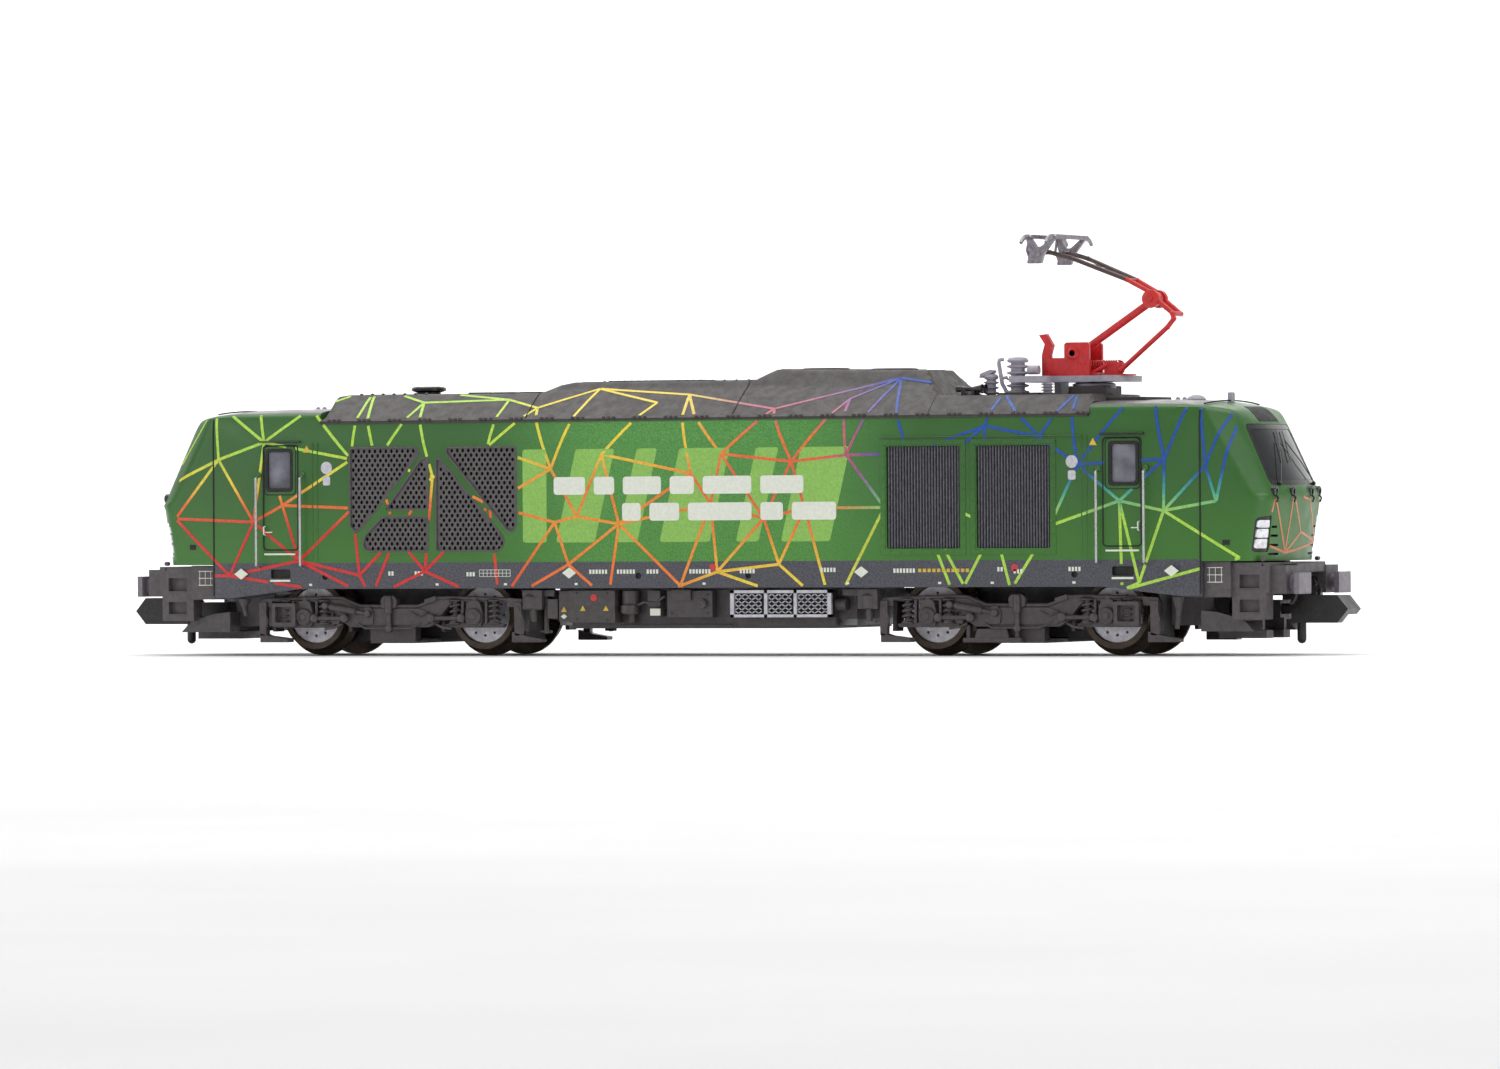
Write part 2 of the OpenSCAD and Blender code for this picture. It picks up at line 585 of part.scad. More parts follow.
// Housing of the gears in local coordinates, with the drive cup on the -X side
module gearbox() color("#3a3635") difference() {
  union() {
    across(5.8) polygon(gearbox_line);
    rod_z([0, 0, 8.8], turntable_r, 0.75);
    across(3.6) polygon([[-8.6, 7], [8.6, 7], [8.6, 10.7], [-8.6, 10.7]]);
  }
  across(2.6) polygon(gear_room);
  both_ends() {
    rod_y([half_base, 0, axle_z], 0.75 + fit, 8);
    rod_y([idler_x, 0, idler_z], 0.5 + fit, 4.6);
  }
  rod_y([0, 0, worm_gear_z], 0.5 + fit, 4.6);
  rod_x([-6, 0, shaft_z], 0.5 + fit, 11.3);
}
module worm_gear() color("ivory") {
  rod_y([0, 0, worm_gear_z], 0.5, 4.4);
  translate([0, 0, worm_gear_z]) gear(small_gear_r, 1.8, small_teeth);
}
module idler() color("ivory") {
  rod_y([0, 0, idler_z], 0.5, 4.4);
  translate([0, 0, idler_z]) gear(idler_r, 1.6, idler_teeth);
}
module axle() color("#5b5550") {
  rod_y([0, 0, axle_z], 0.75, 2 * wheel_in + 3.2);
  translate([0, 0, axle_z]) gear(small_gear_r, 1.6, small_teeth);
}
wheel_half = [[0.75, 0], [tread_d / 2 + flange_h, 0], [tread_d / 2 + flange_h, 0.35],
              [tread_d / 2 + 0.05, 0.75], [tread_d / 2, 0.8], [tread_d / 2 - 0.05, wheel_w],
              [2.85, wheel_w], [2.75, wheel_w - 0.35], [1.3, wheel_w - 0.35], [1.2, wheel_w],
              [0.75, wheel_w]];
module wheels() color("#7d7264") both_sides() difference() {
  translate([0, wheel_in, axle_z]) rotate([-90, 0, 0]) rotate_extrude($fn = 64) polygon(wheel_half);
  for (i = [0 : 11]) translate([2.05 * cos(30 * i), 0, axle_z + 2.05 * sin(30 * i)])
    rod_y([0, wheel_in + wheel_w, 0], 0.14, 1.2);
}
module pickups() color("peru") both_sides() {
  box([-9.0, 2.9, 6.9], [9.0, 3.05, 7.4]);
  both_ends() box([7.4, 2.9, 6.9], [7.9, 3.55, 7.4]);
}

frame_line = [[-4.6, 2.85], [4.6, 2.85], [5.2, 3.4], [5.6, 3.4], [5.9, 4.4], [6.9, 5.4], [13.3, 5.4],
              [13.3, 5.75], [6.4, 5.95], [4.7, 5.95], [3.4, 4.95], [-3.4, 4.95], [-4.7, 5.95],
              [-6.4, 5.95], [-13.3, 5.75], [-13.3, 5.4], [-6.9, 5.4], [-5.9, 4.4], [-5.6, 3.4],
              [-5.2, 3.4]];
module axle_guard(x) {
  rod_y([x, 7.9, axle_z - 0.15], 0.8, 1.3);
  box([x - 0.6, 7.25, axle_z - 0.2], [x + 0.6, 8.2, 5.5]);
  box([x - 2.9, 7.25, 2.75], [x + 2.9, 7.9, 3.25]);
  for (dx = [-2.1, 2.1]) rod_z([x + dx, 7.85, 3.2], 0.55, 2.4);
}
module spring_damper(p, q) {
  bar(p, q, 0.2);
  bar(p + 0.12 * (q - p), p + 0.7 * (q - p), 0.32);
}
// Moulded bogie frame with its springs, dampers, sand pipes and brake gear, and a step below its outer end
module bogie_frame(magnet, step) color("#453f3d") {
  both_sides() {
    translate([0, 7.6, 0]) across(0.7) polygon(frame_line);
    for (s = [-1, 1]) axle_guard(s * half_base);
    spring_damper([-6.9, 8.35, 5.0], [-2.3, 8.35, 4.25]);
    spring_damper([0.1, 8.35, 5.9], [0.15, 8.35, 2.6]);
    box([-0.5, 7.6, 4.8], [0.7, 8.4, 5.95]);
    box([-2.6, 7.6, 3.1], [-1.9, 8.45, 4.8]);
    for (s = [-1, 1]) bar([s * 4.8, 8.3, 3.75], [s * 8.2, 8.3, 3.75], 0.22);
    for (s = [-1, 1]) rod_y([s * 4.8, 8.1, 3.75], 0.5, 0.9);
    for (x = [-13.9, 14.3]) box([x - 0.4, 7.7, 2.0], [x + 0.4, 8.5, 5.4]);
    box([-14.2, 7.5, 4.9], [-13.0, 8.2, 5.7]);
    box([13.0, 7.5, 4.9], [14.6, 8.2, 5.7]);
    box([-14.3, 7.0, 1.3], [-11.0, 8.5, 2.0]);
    box([13.6, 7.0, 1.3], [16.9, 8.5, 2.0]);
    translate([step, 0, 0]) difference() {
      box([-1.35, 8.2, 2.9], [1.3, 8.9, 5.3]);
      box([-0.95, 8.0, 3.35], [0.9, 9.5, 4.9]);
    }
    box([-3.4, 2.93, 3.0], [3.4, 7.3, 4.9]);
    if (magnet) {
      box([-5.7, 7.3, 1.3], [0.4, 8.2, 1.8]);
      box([-4.5, 7.3, 1.8], [-0.8, 8.2, 2.9]);
    }
  }
  box([-2.6, -7.3, 1.2], [2.6, 7.3, 1.7]);
  both_sides() box([-2.6, 6.0, 1.5], [2.6, 7.3, 3.2]);
}

module at_front() translate([pivot_x, 0, 0]) children();
module at_rear() translate([-pivot_x, 0, 0]) children();
module turned() mirror([1, 0, 0]) children();

module bogie_frame_front() at_front() bogie_frame(true, 11.6);
module bogie_frame_rear() at_rear() bogie_frame(false, -11.35);
module gearbox_front() at_front() gearbox();
module gearbox_rear() at_rear() turned() gearbox();
module pickups_front() at_front() pickups();
module pickups_rear() at_rear() pickups();
module worm_front() at_front() worm();
module worm_rear() at_rear() turned() worm();
module worm_gear_front() at_front() worm_gear();
module worm_gear_rear() at_rear() worm_gear();
module idler_front_outer() at_front() translate([idler_x, 0, 0]) idler();
module idler_front_inner() at_front() translate([-idler_x, 0, 0]) idler();
module idler_rear_inner() at_rear() translate([idler_x, 0, 0]) idler();
module idler_rear_outer() at_rear() translate([-idler_x, 0, 0]) idler();
axle_x = [-pivot_x - half_base, -pivot_x + half_base, pivot_x - half_base, pivot_x + half_base];
module axle_at(n) translate([axle_x[n - 1], 0, 0]) axle();
module wheels_at(n) translate([axle_x[n - 1], 0, 0]) wheels();

chassis_frame();
underfloor_tank();
battery_box_grilles();
body_shell();
roof_cover();
equipment_deck();
windscreens();
door_windows();
mesh_grilles();
radiator_grilles();
handrails();
buffer_beams();
buffers();
headlamps();
light_guides();
circuit_board();
decoder_board();
loudspeaker();
motor_can();
brush_holder();
roof_insulators();
roof_horns();
pantograph_base();
pantograph_channel();
lift_spring();
lower_arm();
upper_arm();
pantograph_head();
thrust_rod();
coupler_pocket_front();
coupler_pocket_rear();
coupler_front();
coupler_rear();
motor_armature();
flywheels();
cardan_front();
cardan_rear();
bogie_frame_front();
bogie_frame_rear();
gearbox_front();
gearbox_rear();
pickups_front();
pickups_rear();
worm_front();
worm_rear();
worm_gear_front();
worm_gear_rear();
idler_front_outer();
idler_front_inner();
idler_rear_inner();
idler_rear_outer();
axle_at(1);  // axle_1
axle_at(2);  // axle_2
axle_at(3);  // axle_3
axle_at(4);  // axle_4
wheels_at(1);  // wheels_1
wheels_at(2);  // wheels_2
wheels_at(3);  // wheels_3
wheels_at(4);  // wheels_4
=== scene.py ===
"""Visual model of a four-axle electric locomotive for 9 mm track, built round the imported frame.

Lengths in this script are millimetres until a mesh is made, when MM turns them into metres.
X runs along the locomotive, -Y is the side towards the camera, Z is up from the flange bottoms.
"""
import json
import math
from itertools import product

import bmesh
import bpy
import numpy as np
from mathutils import Matrix, Vector
from mathutils.geometry import delaunay_2d_cdt


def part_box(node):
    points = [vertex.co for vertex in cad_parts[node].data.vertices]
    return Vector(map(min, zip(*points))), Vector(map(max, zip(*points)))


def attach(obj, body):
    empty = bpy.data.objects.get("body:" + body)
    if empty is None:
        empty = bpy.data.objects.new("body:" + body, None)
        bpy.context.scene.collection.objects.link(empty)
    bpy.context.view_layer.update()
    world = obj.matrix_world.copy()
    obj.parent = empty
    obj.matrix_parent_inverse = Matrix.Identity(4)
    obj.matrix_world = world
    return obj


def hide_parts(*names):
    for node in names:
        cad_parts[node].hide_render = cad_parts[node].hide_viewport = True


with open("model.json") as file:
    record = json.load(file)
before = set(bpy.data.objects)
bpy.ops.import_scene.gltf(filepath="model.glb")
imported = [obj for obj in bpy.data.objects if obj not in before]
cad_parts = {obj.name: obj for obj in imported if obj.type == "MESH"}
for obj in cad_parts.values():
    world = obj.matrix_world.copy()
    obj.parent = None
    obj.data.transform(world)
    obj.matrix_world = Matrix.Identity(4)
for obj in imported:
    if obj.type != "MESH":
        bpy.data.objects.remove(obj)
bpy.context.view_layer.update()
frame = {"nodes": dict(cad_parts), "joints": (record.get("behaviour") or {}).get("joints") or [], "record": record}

MM = 0.001
RNG = np.random.default_rng(160)


def node_box(name):
    """Lowest and highest corner of a CAD node in millimetres."""
    low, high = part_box(name)
    return np.array(low) / MM, np.array(high) / MM


# ---------------------------------------------------------------- dimensions from the frame

half_w = node_box("body_shell")[1][1]
seat_z = node_box("roof_cover")[0][2]
pivots = {j["name"]: np.array(j["pos_m"]) / MM for j in frame["joints"]}
bogie_x = {end: pivots[f"bogie_yaw_{end}"][0] for end in ("front", "rear")}
axle_x = {n: pivots[f"wheelset_{n}_spin"][0] for n in range(1, 5)}
axle_z = pivots["wheelset_1_spin"][2]
half_base = (axle_x[4] - axle_x[3]) / 2
knee_x, knee_z = 60.3, 15.6             # where the chin and the brow of the nose meet
joint_x = 53.0                          # joint between the cab moulding and the side
skirt_z = 9.3                           # top of the slate skirt
shell_t = 0.8
UP, NEAR = (0, 0, 1), (0, -1, 0)        # directions
FAR = 64                                # past the tip of the nose, for tools that cut through it
WIDE = 12                               # past the sides, for tools that cut through them


# ---------------------------------------------------------------- materials

class Paint:
    """A Principled material with its node tree at hand; places are object coordinates."""

    def __init__(self, name, colour, rough, metal=0.0, **sockets):
        self.mat = bpy.data.materials.new(name)
        self.mat.use_nodes = True
        self.tree = self.mat.node_tree
        self.bsdf = self.tree.nodes["Principled BSDF"]
        self.place = self.tree.nodes.new("ShaderNodeTexCoord").outputs["Object"]
        self.bsdf.inputs["Base Color"].default_value = (*colour, 1)
        self.bsdf.inputs["Roughness"].default_value = rough
        self.bsdf.inputs["Metallic"].default_value = metal
        self.rough = rough
        for key, value in sockets.items():
            self.bsdf.inputs[key.replace("_", " ")].default_value = value

    def node(self, kind, **inputs):
        made = self.tree.nodes.new(kind)
        for key, value in inputs.items():
            made.inputs[key.replace("_", " ")].default_value = value
        return made

    def link(self, a, b):
        self.tree.links.new(a, b)

    def noise(self, size_mm, detail=3.0):
        made = self.node("ShaderNodeTexNoise", Scale=1 / (size_mm * MM), Detail=detail)
        self.link(self.place, made.inputs["Vector"])
        return made.outputs["Fac"]

    def noise_between(self, size_mm, low, high):
        return self.ranged(self.noise(size_mm), 0.3, 0.7, low, high)

    def ranged(self, value, low, high, to_low=0.0, to_high=1.0, smooth=True):
        made = self.node("ShaderNodeMapRange")
        made.interpolation_type = "SMOOTHSTEP" if smooth else "LINEAR"
        ends = {"From Min": low, "From Max": high, "To Min": to_low, "To Max": to_high}
        for key, number in ends.items():
            made.inputs[key].default_value = number
        self.link(value, made.inputs["Value"])
        return made.outputs["Result"]

    def axis(self, letter):
        if not hasattr(self, "split"):
            self.split = self.node("ShaderNodeSeparateXYZ")
            self.link(self.place, self.split.inputs["Vector"])
        return self.split.outputs[letter]

    def math(self, operation, a, b=None):
        made = self.node("ShaderNodeMath")
        made.operation = operation
        for socket, value in zip(made.inputs, (a, b)):
            if isinstance(value, (int, float)):
                socket.default_value = value
            elif value is not None:
                self.link(value, socket)
        return made.outputs[0]

    def mix(self, factor, a, b, kind="MIX"):
        made = self.node("ShaderNodeMix")
        made.data_type = "RGBA"
        made.blend_type = kind
        for name, value in (("Factor", factor), ("A", a), ("B", b)):
            socket = [s for s in made.inputs if s.name == name and s.enabled][0]
            if isinstance(value, tuple):
                socket.default_value = (*value, 1)
            elif isinstance(value, (int, float)):
                socket.default_value = value
            else:
                self.link(value, socket)
        return [s for s in made.outputs if s.enabled][0]

    def ramp(self, value, stops):
        made = self.node("ShaderNodeValToRGB")
        points = made.color_ramp.elements
        for at, colour in stops[:-2]:
            points.new(at)
        for point, (at, colour) in zip(points, stops):
            point.position = at
            point.color = (*colour, 1)
        self.link(value, made.inputs["Fac"])
        return made.outputs["Color"]

    def base(self, colour):
        self.link(colour, self.bsdf.inputs["Base Color"])

    def shaded(self, colour, shade):
        """A colour multiplied by a number."""
        grey = self.node("ShaderNodeCombineColor")
        for socket in grey.inputs[:3]:
            self.link(shade, socket)
        return self.mix(1.0, colour, grey.outputs["Color"], "MULTIPLY")

    def mottled(self, colour, size_mm, low, high):
        """Base colour varied in brightness between two shares of itself."""
        self.base(self.shaded(colour, self.noise_between(size_mm, low, high)))

    def uneven_gloss(self, amount, size_mm):
        value = self.noise_between(size_mm, self.rough - amount, self.rough + amount)
        self.link(value, self.bsdf.inputs["Roughness"])

    def bump(self, height, height_mm, strength):
        made = self.node("ShaderNodeBump", Strength=strength, Distance=height_mm * MM)
        self.link(height, made.inputs["Height"])
        self.link(made.outputs["Normal"], self.bsdf.inputs["Normal"])

    def grainy(self, height_mm, size_mm, strength):
        self.bump(self.noise(size_mm, 4.0), height_mm, strength)

    def turned(self, value, pitch_mm):
        """A wave with a given pitch, between -1 and 1."""
        return self.math("SINE", self.math("MULTIPLY", value, 2 * math.pi / (pitch_mm * MM)))


def plain(name, colour, rough, metal, mottle, grain, size, **sockets):
    """Moulded or painted surface: slight mottling, uneven gloss and a fine grain."""
    paint = Paint(name, colour, rough, metal, **sockets)
    paint.mottled(colour, size, 1 - mottle, 1 + mottle)
    paint.uneven_gloss(min(0.08, rough * 0.3), size * 2.5)
    if grain:
        paint.grainy(grain, size * 0.25, 0.6)
    return paint.mat


def body_paint():
    """Green sides that are lighter along the middle, a slate skirt and a grey cab roof."""
    paint = Paint("body_paint", (0.04, 0.14, 0.035), 0.36)
    x, z = paint.math("ABSOLUTE", paint.axis("X")), paint.axis("Z")
    middle = paint.ranged(x, 9 * MM, 25 * MM, 1.0, 0.0)
    side = paint.mix(middle, (0.027, 0.112, 0.018), (0.075, 0.26, 0.05))
    lower = paint.ranged(z, 9 * MM, 19 * MM, 1.0, 0.0)
    side = paint.mix(paint.math("MULTIPLY", lower, 0.4), side, (0.06, 0.23, 0.02))
    speck = paint.ranged(paint.noise(0.16, 2.0), 0.36, 0.64, 0.72, 1.28)
    strength = paint.math("ADD", paint.math("MULTIPLY", middle, 0.6), 0.12)
    speckled = paint.mix(strength, side, paint.shaded(side, speck))
    slate = paint.shaded((0.066, 0.067, 0.082), speck)
    band = paint.math("LESS_THAN", z, skirt_z * MM)
    behind_joint = paint.math("LESS_THAN", x, (joint_x + 0.1) * MM)
    sides = paint.mix(paint.math("MULTIPLY", band, behind_joint), speckled, slate)
    roof = paint.ranged(z, 24.12 * MM, 24.3 * MM)
    roof = paint.math("MULTIPLY", roof, paint.ranged(x, 52.6 * MM, 52.9 * MM, 1.0, 0.0))
    paint.base(paint.mix(roof, sides, (0.12, 0.105, 0.11)))
    paint.uneven_gloss(0.07, 1.8)
    paint.grainy(0.006, 0.22, 0.5)
    return paint.mat


def line_print():
    """Ink of the star pattern, coloured by where it is on the locomotive."""
    paint = Paint("line_print", (0.5, 0.4, 0.05), 0.42)
    x, z = paint.axis("X"), paint.axis("Z")
    height = paint.ranged(z, 6 * MM, 28 * MM, smooth=False)
    red, orange = (0.62, 0.022, 0.02), (0.78, 0.17, 0.03)
    yellow, lime = (0.80, 0.62, 0.05), (0.40, 0.66, 0.07)
    teal, blue, violet = (0.06, 0.36, 0.26), (0.008, 0.07, 0.34), (0.17, 0.08, 0.30)
    amber, brick = (0.8, 0.3, 0.03), (0.66, 0.1, 0.05)
    colour = paint.ramp(height, [(0.12, red), (0.3, red), (0.42, orange), (0.52, yellow), (0.66, lime)])
    for start, end, stops in (
            (-24, -14, [(0.1, orange), (0.3, amber), (0.5, orange), (0.66, yellow), (0.9, yellow)]),
            (-4, 6, [(0.08, yellow), (0.3, orange), (0.5, brick), (0.7, orange), (0.95, violet)]),
            (12, 22, [(0.1, lime), (0.33, lime), (0.44, teal), (0.54, blue), (0.9, blue)])):
        colour = paint.mix(paint.ranged(x, start * MM, end * MM), colour, paint.ramp(height, stops))
    colour = paint.mix(paint.ranged(x, 57.5 * MM, 59.2 * MM), colour, (0.62, 0.22, 0.10))
    paint.mottled(colour, 0.3, 0.85, 1.12)
    paint.uneven_gloss(0.08, 0.8)
    paint.grainy(0.006, 0.15, 0.5)
    return paint.mat


def upper_arm_paint():
    """Red near the knee, bare dark metal towards the head."""
    paint = Paint("upper_arm_paint", (0.5, 0.02, 0.02), 0.38)
    bare = paint.ranged(paint.axis("X"), 42.4 * MM, 42.9 * MM, 1.0, 0.0)
    paint.mottled(paint.mix(bare, (0.56, 0.022, 0.02), (0.10, 0.075, 0.072)), 0.4, 0.9, 1.1)
    paint.link(paint.ranged(bare, 0, 1, 0.0, 0.75), paint.bsdf.inputs["Metallic"])
    paint.grainy(0.01, 0.12, 0.6)
    return paint.mat


def wheel_paint(name, centre_x):
    """Bright turned disc inside a dark bronze tyre, with turning marks round the axle."""
    paint = Paint(name, (0.4, 0.39, 0.42), 0.34, 0.7)
    across = paint.math("SUBTRACT", paint.axis("X"), centre_x * MM)
    up = paint.math("SUBTRACT", paint.axis("Z"), axle_z * MM)
    radius = paint.math("SQRT", paint.math("ADD", paint.math("MULTIPLY", across, across),
                                           paint.math("MULTIPLY", up, up)))
    tyre = paint.ranged(radius, 2.72 * MM, 2.8 * MM)
    face = paint.math("GREATER_THAN", paint.math("ABSOLUTE", paint.axis("Y")), 5.3 * MM)
    dark = paint.math("MAXIMUM", tyre, paint.math("SUBTRACT", 1.0, face))
    paint.mottled(paint.mix(dark, (0.50, 0.49, 0.53), (0.075, 0.055, 0.042)), 0.5, 0.86, 1.1)
    paint.bump(paint.turned(radius, 0.11), 0.006, 0.35)
    paint.link(paint.noise_between(1.2, 0.26, 0.44), paint.bsdf.inputs["Roughness"])
    return paint.mat


def coil_paint():
    """Copper windings between stacked steel laminations."""
    paint = Paint("armature_copper", (0.45, 0.2, 0.1), 0.4, 0.85)
    stack = paint.ranged(paint.turned(paint.axis("X"), 0.35), -0.3, 0.3)
    paint.base(paint.mix(stack, (0.42, 0.17, 0.07), (0.26, 0.25, 0.24)))
    paint.grainy(0.02, 0.3, 0.6)
    return paint.mat


# Name of a slot of the record, or of an ink: colour, roughness, metal, mottling, and the height and
# size in mm of the grain
LOOKS = {
    "block_print": ((0.24, 0.48, 0.09), 0.4, 0, 0.1, 0.012, 0.2),
    "white_print": ((0.72, 0.75, 0.66), 0.45, 0, 0.05, 0.012, 0.3),
    "red_print": ((0.55, 0.04, 0.04), 0.45, 0, 0.08, 0.012, 0.3),
    "yellow_print": ((0.6, 0.42, 0.05), 0.45, 0, 0.08, 0.012, 0.3),
    "groove": ((0.006, 0.008, 0.006), 0.6, 0, 0.08, 0.012, 0.3),
    "hood_paint": ((0.046, 0.039, 0.037), 0.5, 0, 0.16, 0.02, 0.35),
    "deck_paint": ((0.046, 0.039, 0.039), 0.52, 0, 0.14, 0.02, 0.35),
    "mesh_plastic": ((0.088, 0.082, 0.082), 0.45, 0, 0.14, 0.03, 0.55),
    # Near black for the pits of the grilles and behind the battery louvres: painted shade
    "hole_shade": ((0.008, 0.008, 0.008), 0.8, 0, 0.08, 0.012, 0.4),
    "radiator_plastic": ((0.10, 0.10, 0.115), 0.38, 0, 0.25, 0.03, 0.3),
    "windscreen_clear": ((0.008, 0.010, 0.012), 0.09, 0, 0.3, 0, 4),
    "window_clear": ((0.16, 0.16, 0.19), 0.1, 0, 0.45, 0, 3),
    "black_trim": ((0.012, 0.012, 0.013), 0.22, 0, 0.08, 0.012, 0.6),
    "lamp_clear": ((0.72, 0.72, 0.76), 0.12, 0.55, 0.2, 0.012, 0.5),
    "handrail_wire": ((0.52, 0.52, 0.53), 0.3, 0.9, 0.08, 0.012, 0.4),
    "beam_plastic": ((0.082, 0.072, 0.078), 0.46, 0, 0.14, 0.03, 0.55),
    "buffer_plastic": ((0.17, 0.15, 0.18), 0.34, 0, 0.12, 0.012, 0.5),
    "bogie_plastic": ((0.066, 0.055, 0.058), 0.4, 0, 0.14, 0.03, 0.55),
    "underfloor_plastic": ((0.064, 0.055, 0.057), 0.44, 0, 0.14, 0.03, 0.55),
    "silver_print": ((0.54, 0.53, 0.58), 0.36, 0.35, 0.12, 0.012, 0.4),
    "coupler_plastic": ((0.012, 0.010, 0.011), 0.34, 0, 0.2, 0.03, 0.5),
    "insulator_plastic": ((0.34, 0.32, 0.38), 0.34, 0, 0.08, 0.012, 0.4),
    "roof_black": ((0.014, 0.012, 0.012), 0.25, 0, 0.2, 0.012, 0.5),
    "panto_grey": ((0.36, 0.34, 0.40), 0.34, 0, 0.08, 0.012, 0.5),
    "panto_red": ((0.56, 0.016, 0.02), 0.34, 0, 0.12, 0.02, 0.4),
    "head_metal": ((0.26, 0.24, 0.27), 0.34, 0.6, 0.2, 0.012, 0.4),
    "chassis_zinc": ((0.30, 0.30, 0.31), 0.42, 0.8, 0.2, 0.04, 0.8),
    "gearbox_plastic": ((0.03, 0.027, 0.027), 0.45, 0, 0.14, 0.03, 0.55),
    "axle_steel": ((0.16, 0.14, 0.12), 0.35, 0.8, 0.08, 0.012, 0.5),
    "contact_bronze": ((0.60, 0.36, 0.18), 0.3, 0.9, 0.08, 0.012, 0.5),
    "worm_brass": ((0.66, 0.46, 0.18), 0.28, 0.95, 0.08, 0.012, 0.4),
    "flywheel_brass": ((0.70, 0.48, 0.19), 0.25, 0.95, 0.08, 0.012, 0.5),
    "gear_plastic": ((0.66, 0.62, 0.50), 0.4, 0, 0.08, 0.012, 0.4),
    "drive_plastic": ((0.02, 0.02, 0.02), 0.4, 0, 0.08, 0.012, 0.5),
    "motor_steel": ((0.48, 0.49, 0.50), 0.3, 0.9, 0.08, 0.012, 0.8),
    "brush_plastic": ((0.02, 0.02, 0.022), 0.4, 0, 0.08, 0.012, 0.5),
    "circuit_laminate": ((0.012, 0.12, 0.05), 0.3, 0, 0.35, 0.012, 0.9),
    "decoder_laminate": ((0.01, 0.06, 0.14), 0.3, 0, 0.35, 0.012, 0.7),
    "speaker_plastic": ((0.02, 0.02, 0.02), 0.5, 0, 0.08, 0.012, 0.6),
    "light_guide_clear": ((0.75, 0.77, 0.80), 0.08, 0, 0.08, 0.012, 2),
}
MORE_SOCKETS = {
    "windscreen_clear": {"Specular_IOR_Level": 0.3},
    "lamp_clear": {"Coat_Weight": 1.0},
    "light_guide_clear": {"Transmission_Weight": 0.7},
}
MATERIALS = {name: plain(name, *look, **MORE_SOCKETS.get(name, {})) for name, look in LOOKS.items()}
MATERIALS |= {"body_paint": body_paint(), "line_print": line_print(), "upper_arm": upper_arm_paint(),
              "armature_copper": coil_paint()}


# ---------------------------------------------------------------- mesh building

def unit(v):
    v = np.asarray(v, float)
    return v / np.linalg.norm(v)


def rounded(points, radius, steps=5):
    """A closed outline with its corners rounded; a corner's round is shortened where sides are short."""
    points = [np.asarray(p, float) for p in points]
    out = []
    for before, here, after in zip(points[-1:] + points[:-1], points, points[1:] + points[:1]):
        reach = min(radius, 0.45 * np.linalg.norm(before - here), 0.45 * np.linalg.norm(after - here))
        start, end = here + reach * unit(before - here), here + reach * unit(after - here)
        for t in np.linspace(0, 1, steps):
            out.append((1 - t) ** 2 * start + 2 * t * (1 - t) * here + t ** 2 * end)
    return out


def rectangle(x0, z0, x1, z1):
    return [(x0, z0), (x1, z0), (x1, z1), (x0, z1)]


def turn(count):
    """Equal steps of a full turn, in radians."""
    return np.linspace(0, 2 * math.pi, count, endpoint=False)


def oval(x, z, half_x, half_z, count):
    return [(x + half_x * math.cos(a), z + half_z * math.sin(a)) for a in turn(count)]


